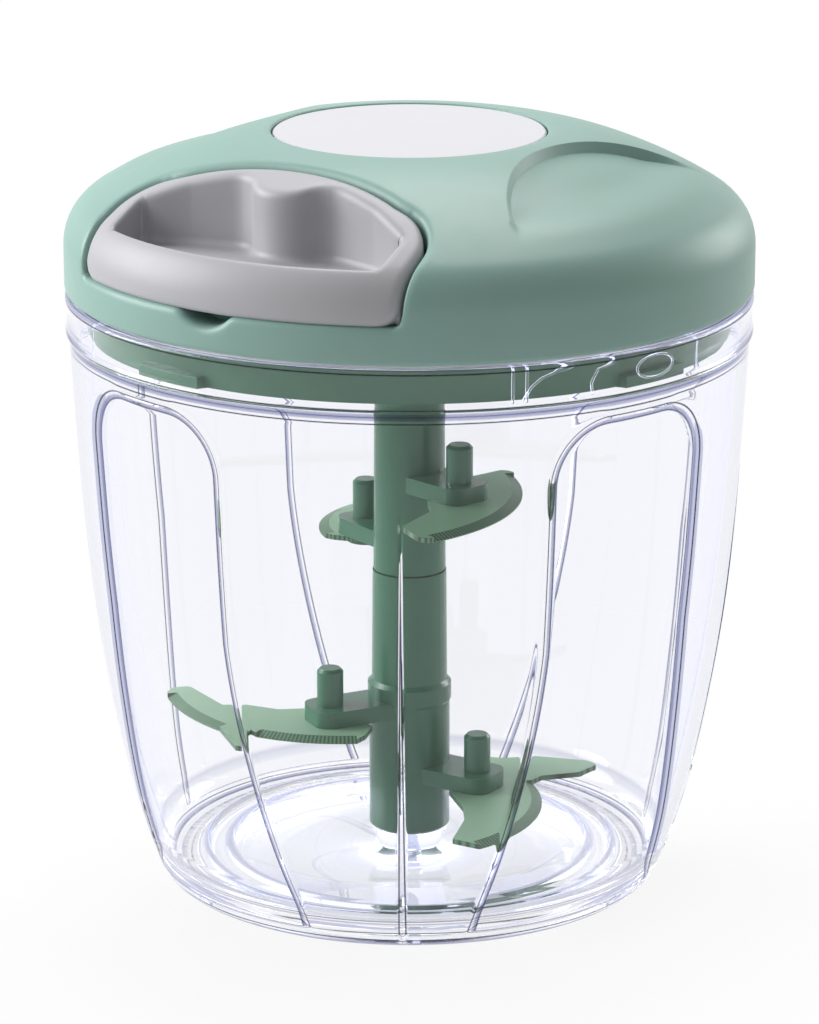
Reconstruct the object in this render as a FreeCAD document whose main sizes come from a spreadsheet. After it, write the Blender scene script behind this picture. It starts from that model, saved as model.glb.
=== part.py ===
import FreeCAD, Part
import Sketcher
import math
import os

# Pull-string food chopper: a clear bowl, a domed lid with a pull handle, and a blade unit between them.
# Millimetres. +Z is up, the origin is the middle of the bowl's underside, and the handle faces -Y.

# Driving sizes, one name each. Radii and heights are measured on the closed chopper.
lengths = {
    # Clear bowl
    "bowl_height": 115.1,
    "foot_in": 18.8,
    "corner_in": 14.7,
    "corner_rise": 4.6,
    "waist_in": 5.8,
    "waist_rise": 40.0,
    "bowl_set_in": 0.8,
    "bowl_wall": 2.1,
    "bowl_floor": 2.6,
    "foot_recess": 1.6,
    "foot_ring_width": 5.4,
    "corner_bend": 7.5,
    "inner_bend_step": 1.0,
    "foot_chamfer": 0.5,
    "collar_ridge": 0.3,
    "mouth_chamfer": 0.4,
    "lower_wall_bend": 183.0,
    "upper_wall_bend": 560.0,
    "collar_height": 7.6,
    "collar_step": 0.5,
    "collar_wall": 2.7,
    "collar_chamfer": 0.6,
    "panel_width": 34.6,
    "panel_top_gap": 3.5,
    "panel_corner": 12.5,
    "panel_depth": 0.9,
    "panel_border": 2.6,
    "rib_width": 1.7,
    "rib_tip_half": 0.12,
    "rib_top_gap": 23.5,
    "rib_relief": 0.7,
    "floor_ring_radius": 35.0,
    "floor_ring_width": 1.8,
    "floor_ring_rise": 0.6,
    "pivot_boss_radius": 6.4,
    "pivot_boss_rise": 3.4,
    "pivot_pin_radius": 2.0,
    "pivot_pin_length": 16.0,
    "pin_seat": 1.0,
    "pin_gap": 0.05,
    "bayonet_rib_height": 1.6,
    "bayonet_rib_reach": 1.9,
    "bayonet_lug_height": 2.4,
    "bayonet_lug_reach": 1.8,
    "lug_rise": 0.1,
    "bayonet_play": 0.4,
    "bayonet_side_gap": 0.6,
    # Cutting shapes run this far past a face that they open, and added shapes sink this deep
    "overshoot": 2.0,
    "merge_depth": 0.5,
    # Domed lid
    "lid_gap": 0.7,
    "lid_radius": 65.0,
    "lid_wall": 2.4,
    "lid_edge_round": 1.0,
    "lid_side_rise": 8.5,
    "shoulder_in": 5.0,
    "shoulder_rise": 17.5,
    "shoulder_bend": 10.6,
    "brow_in": 22.0,
    "brow_rise": 25.77,
    "brow_bend": 90.0,
    "crown_rise": 29.4,
    "crown_bend": 65.2,
    "disc_radius": 25.65,
    "disc_thickness": 1.4,
    "disc_gap": 0.3,
    "disc_set_back": 0.25,
    "disc_backing": 1.8,
    "disc_edge_round": 0.3,
    "scoop_bend": 46.0,
    "scoop_start": 29.6,
    "scoop_depth": 1.9,
    "scoop_backing": 2.0,
    "scoop_crown_drop": 0.1,
    "scoop_floor_in": 8.6,
    "scoop_rim_rise": 19.75,
    "scoop_lip": 3.6,
    "scoop_lip_drop": 0.55,
    "screw_set_in": 13.0,
    "screw_boss_radius": 3.6,
    # Handle and its pocket
    "handle_half_width": 33.7,
    "handle_back": 35.0,
    "handle_corner_in": 9.3,
    "handle_back_bow": 3.7,
    "handle_side_in": 10.4,
    "handle_front_flare": 3.0,
    "handle_corner_bend": 10.0,
    "handle_rise": 6.8,
    "handle_set_back": 0.4,
    "handle_gap": 0.6,
    "handle_floor_gap": 0.3,
    "pocket_wall": 1.8,
    "grip_front_bar": 4.4,
    "grip_side_bar": 4.5,
    "grip_side_rise": 0.5,
    "grip_back_bar": 4.2,
    "grip_floor_rise": 5.7,
    "grip_floor_thickness": 1.8,
    "grip_front_corner": 7.4,
    "grip_back_slope": 8.7,
    "grip_back_dip": 2.0,
    "bulge_reach": 9.0,
    "bulge_half_width": 5.5,
    "bulge_foot": 7.0,
    "bulge_bend": 8.5,
    "bulge_foot_bend": 6.0,
    "notch_radius": 7.6,
    "notch_depth": 2.7,
    "notch_length": 6.0,
    "notch_wall": 1.2,
    # Cord
    "cord_radius": 1.0,
    "cord_clearance": 0.3,
    "cord_turn_in": 2.6,
    "cord_bend": 4.0,
    "cord_seat": 0.2,
    "cord_end_gap": 0.15,
    "knot_radius": 2.3,
    "knot_gap": 0.5,
    "knot_in": 4.6,
    "eyelet_wall": 0.7,
    "eyelet_flange": 1.1,
    "eyelet_flange_width": 1.0,
    # Reel, spring and drive
    "reel_core_wall": 2.6,
    "reel_cup_radius": 18.6,
    "reel_cup_floor": 1.6,
    "reel_side_gap": 2.0,
    "reel_flange": 1.4,
    "reel_groove": 7.4,
    "reel_hub_radius": 8.4,
    "reel_cover": 1.0,
    "reel_cover_radius": 24.0,
    "reel_cover_gap": 0.8,
    "winding_gap": 0.1,
    "axle_radius": 2.5,
    "axle_boss_wall": 4.0,
    "axle_boss_depth": 3.2,
    "axle_boss_drop": 4.15,
    "axle_end_gap": 0.2,
    "axle_chamfer": 0.4,
    "tap_end_gap": 1.0,
    "fixed_fit": 0.02,
    "running_fit": 0.06,
    "end_play": 0.4,
    "arbor_wall": 2.5,
    "spring_strip": 0.5,
    "spring_pitch": 1.6,
    "spring_wall_gap": 0.35,
    "spring_side_gap": 0.5,
    "spindle_radius": 6.0,
    "spindle_key_step": 0.4,
    "hub_face_gap": 0.1,
    "spindle_key_length": 5.0,
    "dog_side_gap": 0.3,
    "dog_core_wall": 1.1,
    "dog_length": 8.4,
    "bush_wall": 1.6,
    "bush_flange": 1.1,
    "bush_flange_width": 2.0,
    "bush_depth": 1.6,
    "washer_lip": 0.1,
    "washer_thickness": 0.6,
    "axle_screw_radius": 1.25,
    "axle_screw_length": 7.0,
    "axle_screw_head": 1.6,
    # Lid base
    "base_plate": 2.2,
    "base_plate_gap": 0.3,
    "skirt_wall": 2.0,
    "skirt_depth": 8.2,
    "hub_wall": 2.6,
    "hub_drop": 2.1,
    "seal_height": 1.2,
    "seal_groove": 0.6,
    "seal_gap": 0.3,
    "seal_flat": 0.1,
    "screw_radius": 1.5,
    "screw_length": 9.0,
    "screw_end_gap": 1.0,
    "screw_head_radius": 2.8,
    "screw_head_height": 2.0,
    # Blade unit
    "shaft_foot_radius": 7.8,
    "shaft_collar_step": 0.3,
    "shaft_collar_bottom": 33.8,
    "shaft_collar_height": 4.0,
    "shaft_collar_round": 0.8,
    "shaft_chamfer": 0.5,
    "seam_step": 0.15,
    "seam_rise": 59.9,
    "seam_gap": 0.3,
    "sleeve_flare": 0.35,
    "sleeve_foot_height": 1.2,
    "socket_rib_gap": 0.4,
    "socket_rib_drop": 1.5,
    "sleeve_radius": 6.6,
    "sleeve_headroom": 2.0,
    "stub_cover": 2.2,
    "stub_length": 19.0,
    "stub_fit": 0.04,
    "stub_end_gap": 0.5,
    "socket_depth": 12.5,
    "socket_wall": 1.4,
    "arm_thickness": 3.2,
    "arm_root_half": 5.2,
    "arm_tip_half": 5.0,
    "arm_tip_reach": 4.2,
    "arm_corner": 3.0,
    "stud_radius": 2.55,
    "stud_height": 7.5,
    "stud_round": 0.6,
    "stud_head_radius": 3.6,
    "stud_head_height": 0.7,
    "blade_thickness": 1.0,
    "blade_land": 0.2,
    "blade_bevel": 2.0,
    "blade_gap": 0.05,
    "shaft_bush_wall": 1.5,
    "shaft_bush_length": 9.0,
    "thrust_gap": 0.3,
}

# The four arms: height of the arm's top, the stud's distance from the axis, and its turn about +Z
# within the blade unit, counted from the right.
arms = {
    "upper_right": {"rise": 79.6, "reach": 13.9, "turn": -47.3},
    "upper_left": {"rise": 66.8, "reach": 14.2, "turn": 126.7},
    "lower_left": {"rise": 34.4, "reach": 16.9, "turn": 205.7},
    "lower_right": {"rise": 21.4, "reach": 15.4, "turn": -32.2},
}

# Angles in degrees. Turns are counted about +Z from the handle's direction.
angles = {
    "panel_turn": -12.1,
    "rib_turn": 32.9,
    "bayonet_turn": -10.1,
    "bayonet_rib_span": 17.0,
    "bayonet_lug_span": 14.0,
    "bayonet_stop_span": 2.0,
    "stop_gap": 0.5,
    "blade_turn": 34.4,
    "scoop_turn": 91.4,
    "screw_front_turn": 62.0,
    "screw_back_turn": 142.0,
    "dog_span": 50.0,
    "socket_rib_span": 42.0,
    "dog_lead": 4.0,
}
for arm_name, arm in arms.items():
    lengths["arm_" + arm_name + "_rise"] = arm["rise"]
    lengths["arm_" + arm_name + "_reach"] = arm["reach"]
    angles["arm_" + arm_name + "_turn"] = arm["turn"]


class Size:
    # A size that carries its value and the sheet expression that gives it.
    def __init__(self, text, value):
        self.text = text
        self.value = value

    @staticmethod
    def of(other):
        if isinstance(other, Size):
            return other
        return Size(repr(float(other)), float(other))

    def __add__(self, other):
        other = Size.of(other)
        return Size("(" + self.text + " + " + other.text + ")", self.value + other.value)

    def __sub__(self, other):
        other = Size.of(other)
        return Size("(" + self.text + " - " + other.text + ")", self.value - other.value)

    def __mul__(self, other):
        other = Size.of(other)
        return Size("(" + self.text + " * " + other.text + ")", self.value * other.value)

    def __truediv__(self, other):
        other = Size.of(other)
        return Size("(" + self.text + " / " + other.text + ")", self.value / other.value)

    def __radd__(self, other):
        return Size.of(other) + self

    def __rsub__(self, other):
        return Size.of(other) - self

    def __rmul__(self, other):
        return Size.of(other) * self

    def __neg__(self):
        return Size("(0 - " + self.text + ")", -self.value)


doc = FreeCAD.newDocument("food_chopper")
sheet = doc.addObject("Spreadsheet::Sheet", "Sizes")


class Named:
    pass


s = Named()
for row, (name, number) in enumerate(list(lengths.items()) + list(angles.items()), 1):
    sheet.set("A%d" % row, name)
    sheet.set("B%d" % row, str(number))
    sheet.setAlias("B%d" % row, name)
    setattr(s, name, Size("Sizes." + name, float(number)))
doc.recompute()

finished = []


def bind(obj, path, size):
    # Ties one property to the sheet.
    obj.setExpression(path, Size.of(size).text)


def place(obj, x=0, y=0, z=0, turn=None):
    # Moves an object by sizes and turns it about +Z.
    spin = FreeCAD.Rotation(FreeCAD.Vector(0, 0, 1), Size.of(turn or 0).value or 1.0)
    obj.Placement = FreeCAD.Placement(FreeCAD.Vector(), spin)
    for axis, size in (("x", x), ("y", y), ("z", z)):
        bind(obj, "Placement.Base." + axis, size)
    bind(obj, "Placement.Rotation.Angle", turn or 0)
    return obj


def new_body(name):
    body = doc.addObject("PartDesign::Body", name)
    body.Label = name
    return body


def new_sketch(body, name, role, lift=0):
    # A sketch on one of the body's own origin planes, raised along its normal.
    sketch = body.newObject("Sketcher::SketchObject", name)
    for feature in body.Origin.OriginFeatures:
        if feature.Role == role:
            sketch.AttachmentSupport = [(feature, "")]
    sketch.MapMode = "FlatFace"
    lift = Size.of(lift)
    sketch.AttachmentOffset = FreeCAD.Placement(FreeCAD.Vector(0, 0, lift.value), FreeCAD.Rotation())
    bind(sketch, "AttachmentOffset.Base.z", lift)
    return sketch


def fix_point(sketch, geometry, end, x, y):
    # Holds one point of the sketch at two sizes from the origin.
    for kind, axis, size in (("DistanceX", -2, x), ("DistanceY", -1, y)):
        if not isinstance(size, Size) and size == 0:
            sketch.addConstraint(Sketcher.Constraint("PointOnObject", geometry, end, axis))
            continue
        size = Size.of(size)
        index = sketch.addConstraint(Sketcher.Constraint(kind, -1, 1, geometry, end, size.value))
        sketch.setExpression("Constraints[%d]" % index, size.text)


def arc_between(start, end, radius):
    # The arc from start to end. A positive radius turns left on the way, a negative one right.
    chord = end - start
    half = chord.Length / 2
    rise = math.sqrt(max(radius * radius - half * half, 0))
    left = FreeCAD.Vector(-chord.y, chord.x, 0).normalize()
    side = 1 if radius > 0 else -1
    centre = (start + end) * 0.5 + left * (side * rise)
    first, last = (start, end) if radius > 0 else (end, start)
    begin = math.atan2(first.y - centre.y, first.x - centre.x)
    finish = math.atan2(last.y - centre.y, last.x - centre.x)
    if finish < begin:
        finish += 2 * math.pi
    circle = Part.Circle(centre, FreeCAD.Vector(0, 0, 1), abs(radius))
    return Part.ArcOfCircle(circle, begin, finish)


def outline(sketch, points):
    # A closed outline. Each point is x, y and, where an arc leaves it, that arc's radius.
    count = len(points)
    places = []
    for point in points:
        places.append(FreeCAD.Vector(Size.of(point[0]).value, Size.of(point[1]).value, 0))
    ends = []
    for i, point in enumerate(points):
        start, end = places[i], places[(i + 1) % count]
        if len(point) == 2:
            index = sketch.addGeometry(Part.LineSegment(start, end), False)
            ends.append((index, 1, 2))
            continue
        radius = Size.of(point[2])
        index = sketch.addGeometry(arc_between(start, end, radius.value), False)
        ends.append((index, 1, 2) if radius.value > 0 else (index, 2, 1))
    for i in range(count):
        here, after = ends[i], ends[(i + 1) % count]
        sketch.addConstraint(Sketcher.Constraint("Coincident", here[0], here[2], after[0], after[1]))
    for i, point in enumerate(points):
        fix_point(sketch, ends[i][0], ends[i][1], point[0], point[1])
        if len(point) == 3:
            size = Size.of(point[2])
            size = size if size.value > 0 else -size
            constraint = Sketcher.Constraint("Radius", ends[i][0], size.value)
            index = sketch.addConstraint(constraint)
            sketch.setExpression("Constraints[%d]" % index, size.text)
    return sketch


def revolve(body, points, span=None, kind="Revolution"):
    # Turns an outline of radius and height about +Z.
    sketch = outline(new_sketch(body, body.Label + "_profile", "XZ_Plane"), points)
    feature = body.newObject("PartDesign::" + kind, body.Label + "_turned")
    feature.Profile = sketch
    feature.ReferenceAxis = (sketch, ["V_Axis"])
    if span is None:
        feature.Angle = 360.0
    else:
        feature.Midplane = True
        bind(feature, "Angle", span)
    sketch.Visibility = False
    return feature


def turned(name, points, span=None):
    body = new_body(name)
    revolve(body, points, span)
    return body


def ring(name, inner, outer, bottom, top):
    # A plain ring or disc about +Z.
    return turned(name, [(inner, bottom), (outer, bottom), (outer, top), (inner, top)])


def pad(body, sketch, length, kind="Pad", back=False):
    feature = body.newObject("PartDesign::" + kind, sketch.Label + "_" + kind.lower())
    feature.Profile = sketch
    bind(feature, "Length", length)
    feature.Reversed = back
    sketch.Visibility = False
    return feature


def prism(name, points, bottom, height):
    # An outline in plan, raised from one height.
    body = new_body(name)
    sketch = outline(new_sketch(body, name + "_plan", "XY_Plane", bottom), points)
    pad(body, sketch, height)
    return body


def round_about(body, feature, count):
    # Repeats a feature evenly about +Z.
    pattern = body.newObject("PartDesign::PolarPattern", body.Label + "_pattern")
    pattern.Originals = [feature]
    for origin in body.Origin.OriginFeatures:
        if origin.Role == "Z_Axis":
            pattern.Axis = (origin, [""])
    pattern.Angle = 360.0
    pattern.Occurrences = count
    body.Tip = pattern
    return pattern


def cylinder(name, radius, bottom, height, x=0, y=0):
    obj = doc.addObject("Part::Cylinder", name)
    obj.Label = name
    bind(obj, "Radius", radius)
    bind(obj, "Height", height)
    return place(obj, x, y, bottom)


def cut(name, base, tool):
    obj = doc.addObject("Part::Cut", name)
    obj.Label = name
    obj.Base = base
    obj.Tool = tool
    return obj


def fuse(name, pieces):
    obj = doc.addObject("Part::MultiFuse", name)
    obj.Label = name
    obj.Shapes = pieces
    return obj


def common(name, pieces):
    obj = doc.addObject("Part::MultiCommon", name)
    obj.Label = name
    obj.Shapes = pieces
    return obj


def group(name, pieces):
    obj = doc.addObject("Part::Compound", name)
    obj.Label = name
    obj.Links = pieces
    return obj


def along_y(name, radius, near, far, z):
    # A cylinder that points at the handle's side, between two distances from the axis.
    obj = doc.addObject("Part::Cylinder", name)
    obj.Label = name
    bind(obj, "Radius", radius)
    bind(obj, "Height", far - near)
    obj.Placement = FreeCAD.Placement(FreeCAD.Vector(), FreeCAD.Rotation(FreeCAD.Vector(1, 0, 0), 90))
    bind(obj, "Placement.Base.y", -near)
    bind(obj, "Placement.Base.z", z)
    return obj


def on_screw_circle(name, radius, bottom, height):
    # One cylinder at each of the lid's four screws.
    pieces = []
    front = angles["screw_front_turn"]
    back = angles["screw_back_turn"]
    for number, turn in enumerate((front, -front, back, -back), 1):
        angle = math.radians(turn)
        x = screw_circle * math.sin(angle)
        y = screw_circle * -math.cos(angle)
        pieces.append(cylinder("%s_%d" % (name, number), radius, bottom, height, x, y))
    return pieces


def finish(obj):
    # Marks an object as one of the chopper's own pieces.
    finished.append(obj)
    return obj


# How far a cutting shape runs past the piece, where its end doesn't matter
tall = s.lid_radius

# Radii that several pieces share, from the lid's edge inwards
shoulder_radius = s.lid_radius - s.bowl_set_in
waist_radius = shoulder_radius - s.waist_in
corner_radius = shoulder_radius - s.corner_in
foot_radius = shoulder_radius - s.foot_in
collar_inner = shoulder_radius + s.collar_step - s.collar_wall
skirt_radius = collar_inner - s.bayonet_side_gap - s.bayonet_lug_reach
lid_inner = s.lid_radius - s.lid_wall
screw_circle = s.lid_radius - s.screw_set_in
corner_x = s.handle_half_width - s.handle_corner_in
eyelet_radius = s.cord_radius + s.cord_clearance + s.eyelet_wall
eyelet_end = s.handle_back - s.handle_gap - s.pocket_wall - s.eyelet_flange
reel_flange_radius = eyelet_end - s.reel_side_gap
reel_core_radius = s.reel_cup_radius + s.reel_core_wall
winding_outer = reel_core_radius + s.winding_gap + s.cord_radius * 2
knot_reach = s.handle_back + s.knot_in
arbor_radius = s.axle_radius + s.arbor_wall
key_radius = s.spindle_radius - s.spindle_key_step
socket_radius = s.sleeve_radius - s.socket_wall
dog_radius = socket_radius - s.dog_side_gap
dog_core_radius = s.axle_radius + s.dog_core_wall
shaft_collar_radius = s.shaft_foot_radius + s.shaft_collar_step
sleeve_foot_radius = s.sleeve_radius + s.sleeve_flare
stub_radius = s.sleeve_radius - s.stub_cover

# Heights that several pieces share, from the floor up and from the crown down
lid_bottom = s.bowl_height + s.lid_gap
collar_bottom = s.bowl_height - s.collar_height
bowl_floor_top = s.foot_recess + s.bowl_floor
boss_top = bowl_floor_top + s.pivot_boss_rise
panel_top = collar_bottom - s.panel_top_gap
rib_top = collar_bottom - s.rib_top_gap
pin_bottom = s.foot_recess + s.pin_seat
pin_top = pin_bottom + s.pivot_pin_length
shaft_bottom = boss_top + s.thrust_gap
lug_bottom = collar_bottom + s.lug_rise
plate_bottom = lid_bottom + s.base_plate_gap
plate_top = plate_bottom + s.base_plate
sleeve_top = plate_bottom - s.hub_drop - s.sleeve_headroom
spindle_shoulder = sleeve_top + s.end_play
spindle_bottom = spindle_shoulder - s.dog_length
washer_top = spindle_bottom - s.end_play
crown_top = lid_bottom + s.crown_rise
crown_under = crown_top - s.disc_set_back - s.disc_thickness - s.disc_backing
axle_boss_bottom = crown_under - s.axle_boss_drop
reel_top = axle_boss_bottom - s.reel_cover_gap - s.reel_cover
groove_top = reel_top - s.reel_flange
cord_rise = groove_top - s.reel_groove / 2
groove_bottom = groove_top - s.reel_groove
reel_bottom = groove_bottom - s.reel_flange
cup_floor = reel_bottom + s.reel_cup_floor
hub_bottom = plate_top + s.bush_flange + s.end_play
handle_floor = lid_bottom + s.handle_rise
pocket_floor = handle_floor - s.handle_floor_gap
grip_floor = handle_floor + s.grip_floor_rise


def wall_points(inset, rise=0):
    # The bowl's side from foot to shoulder, stepped inwards by one size.
    return [
        (corner_radius - inset, s.corner_rise + rise, s.lower_wall_bend),
        (waist_radius - inset, s.waist_rise, s.upper_wall_bend),
        (shoulder_radius - inset, collar_bottom),
    ]


def spread(name, points, reach, count, turn):
    # An outline seen from the front, pushed outwards and repeated about +Z.
    body = new_body(name)
    sketch = outline(new_sketch(body, name + "_face", "XZ_Plane"), points)
    round_about(body, pad(body, sketch, reach), count)
    return place(body, turn=turn)


def arch(half, bottom, top, corner):
    # A tall panel with two rounded upper corners.
    return [
        (-half, bottom),
        (half, bottom),
        (half, top - corner, corner),
        (half - corner, top),
        (corner - half, top, corner),
        (-half, top - corner),
    ]


def make_bowl():
    foot_inner = foot_radius - s.foot_ring_width
    ring_half = s.floor_ring_width / 2
    bore = s.pivot_pin_radius + s.fixed_fit
    side = wall_points(0)
    inside = wall_points(s.bowl_wall, s.bowl_floor)
    shell = turned("bowl_shell", [
        (0, s.foot_recess),
        (foot_inner, s.foot_recess),
        (foot_inner + s.foot_chamfer, 0),
        (foot_radius, 0, s.corner_bend),
        side[0],
        side[1],
        side[2],
        (shoulder_radius + s.collar_step, collar_bottom + s.collar_ridge),
        (shoulder_radius + s.collar_step, s.bowl_height - s.collar_chamfer),
        (shoulder_radius + s.collar_step - s.collar_chamfer, s.bowl_height),
        (collar_inner + s.mouth_chamfer, s.bowl_height),
        (collar_inner, s.bowl_height - s.mouth_chamfer),
        (inside[2][0], collar_bottom, -s.upper_wall_bend),
        (inside[1][0], inside[1][1], -s.lower_wall_bend),
        (inside[0][0], inside[0][1], -(s.corner_bend - s.inner_bend_step)),
        (foot_radius - s.inner_bend_step, bowl_floor_top),
        (s.floor_ring_radius + ring_half, bowl_floor_top),
        (s.floor_ring_radius + ring_half, bowl_floor_top + s.floor_ring_rise),
        (s.floor_ring_radius - ring_half, bowl_floor_top + s.floor_ring_rise),
        (s.floor_ring_radius - ring_half, bowl_floor_top),
        (s.pivot_boss_radius, bowl_floor_top),
        (s.pivot_boss_radius, boss_top),
        (bore, boss_top),
        (bore, pin_bottom),
        (0, pin_bottom),
    ])
    half = s.panel_width / 2
    below = -s.overshoot
    outside = shoulder_radius + s.overshoot * 4
    sunk = wall_points(s.panel_depth)
    skin = turned("panel_skin", [
        (foot_radius - s.panel_depth / 2, below),
        (foot_radius - s.panel_depth / 2, 0, s.corner_bend),
        sunk[0], sunk[1], sunk[2],
        (outside, collar_bottom),
        (outside, below),
    ])
    faces = spread("panel_faces", arch(half, below, panel_top, s.panel_corner), outside, 4,
                   s.panel_turn)
    panels = common("panel_cuts", [skin, faces])
    inner_half = half - s.panel_border
    raised = wall_points(s.bowl_wall + s.panel_depth, s.bowl_floor)
    buried = wall_points(s.bowl_wall - s.merge_depth, s.bowl_floor)
    lining = turned("panel_lining", [
        (raised[0][0], raised[0][1], s.lower_wall_bend),
        (raised[1][0], raised[1][1], s.upper_wall_bend),
        raised[2],
        (buried[2][0], buried[2][1], -s.upper_wall_bend),
        (buried[1][0], buried[1][1], -s.lower_wall_bend),
        buried[0][:2],
    ])
    inner_arch = arch(inner_half, s.foot_recess, panel_top - s.panel_border,
                      s.panel_corner - s.panel_border)
    inner_faces = spread("panel_inner_faces", inner_arch, outside, 4, s.panel_turn)
    bulges = common("panel_bulges", [lining, inner_faces])
    proud = wall_points(-s.rib_relief)
    hidden = wall_points(s.merge_depth)
    rib_skin = turned("rib_skin", [
        (foot_radius - s.merge_depth, 0, s.corner_bend),
        hidden[0], hidden[1], hidden[2],
        (proud[2][0], proud[2][1], -s.upper_wall_bend),
        (proud[1][0], proud[1][1], -s.lower_wall_bend),
        (proud[0][0], proud[0][1], -s.corner_bend),
        (foot_radius + s.rib_relief / 2, 0),
    ])
    rib_half = s.rib_width / 2
    rib_faces = spread("rib_faces", [
        (-rib_half, below),
        (rib_half, below),
        (s.rib_tip_half, rib_top),
        (-s.rib_tip_half, rib_top),
    ], outside, 4, s.rib_turn)
    ribs = common("ribs", [rib_skin, rib_faces])
    lug_top = lug_bottom + s.bayonet_lug_height
    rib_bottom = lug_top + s.bayonet_play
    tracks = new_body("bayonet_tracks")
    track = revolve(tracks, [
        (collar_inner - s.bayonet_rib_reach, rib_bottom),
        (collar_inner + s.merge_depth, rib_bottom),
        (collar_inner + s.merge_depth, rib_bottom + s.bayonet_rib_height),
        (collar_inner - s.bayonet_rib_reach, rib_bottom + s.bayonet_rib_height),
    ], s.bayonet_rib_span)
    round_about(tracks, track, 4)
    place(tracks, turn=s.bayonet_turn)
    stops = new_body("bayonet_stops")
    stop_inner = collar_inner - s.bayonet_rib_reach + s.lug_rise
    stop = revolve(stops, [
        (stop_inner, lug_bottom + s.lug_rise),
        (collar_inner + s.merge_depth, lug_bottom + s.lug_rise),
        (collar_inner + s.merge_depth, rib_bottom + s.bayonet_play),
        (stop_inner, rib_bottom + s.bayonet_play),
    ], s.bayonet_stop_span)
    round_about(stops, stop, 4)
    place(stops, turn=s.bayonet_turn - s.bayonet_lug_span / 2 - s.bayonet_stop_span / 2 - s.stop_gap)
    carved = cut("bowl_carved", shell, panels)
    finish(fuse("bowl", [carved, bulges, ribs, tracks, stops]))


def make_pivot_pin():
    finish(turned("pivot_pin", [
        (0, pin_bottom + s.pin_gap),
        (s.pivot_pin_radius, pin_bottom + s.pin_gap),
        (s.pivot_pin_radius, pin_top - s.pivot_pin_radius, s.pivot_pin_radius),
        (0, pin_top),
    ]))


def dome_points(inset, sink=0):
    # The lid's outer side from wall to crown, stepped in along its own normal. Pure numbers are
    # the parts of a unit normal at each joint of the profile.
    step = Size.of(inset)
    drop = Size.of(sink)
    return [
        (s.lid_radius - step, lid_bottom + s.lid_side_rise, s.shoulder_bend - step),
        (s.lid_radius - s.shoulder_in - step * 0.53, lid_bottom + s.shoulder_rise - step * 0.85 - drop,
         s.brow_bend - step),
        (s.lid_radius - s.brow_in - step * 0.34, lid_bottom + s.brow_rise - step * 0.94 - drop,
         s.crown_bend - step),
        (s.disc_radius + s.disc_gap * 2, crown_top - step - drop),
    ]


def dome_solid(name, inset, bottom, sink=0, edge=0):
    # A solid dome. A size for edge rounds its lower rim.
    side = dome_points(inset, sink)
    if Size.of(edge).value > 0:
        rim = [(side[0][0] - edge, bottom, edge), (side[0][0], bottom + edge)]
    else:
        rim = [(side[0][0], bottom)]
    return turned(name, [(0, bottom)] + rim + side + [(0, side[3][1])])


def handle_plan(grow):
    # The pull handle's outline in plan, from its back corner round to its front, grown by one size.
    wide = s.handle_half_width + grow
    front_wide = wide + s.handle_front_flare
    back = -(s.handle_back + s.handle_back_bow - grow)
    back_bend = (corner_x * corner_x + s.handle_back_bow * s.handle_back_bow) / (s.handle_back_bow * 2)
    side = -(s.handle_back + s.handle_side_in)
    front = -(s.lid_radius + s.overshoot)
    bend = s.handle_corner_bend + grow
    return [
        (corner_x, back, back_bend),
        (-corner_x, back, bend),
        (-wide, side),
        (-front_wide, front),
        (front_wide, front),
        (wide, side, bend),
    ]


def scoop_pair(name, grow, bottom, height):
    # The two round fields of the hand grips, one on each side of the handle.
    turn = math.radians(angles["scoop_turn"])
    reach = s.scoop_start + s.scoop_bend
    across = reach * math.sin(turn)
    back = -reach * math.cos(turn)
    pieces = []
    for word, x in (("right", across), ("left", -across)):
        pieces.append(cylinder(name + "_" + word, s.scoop_bend + grow, bottom, height, x, back))
    return pieces


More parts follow.
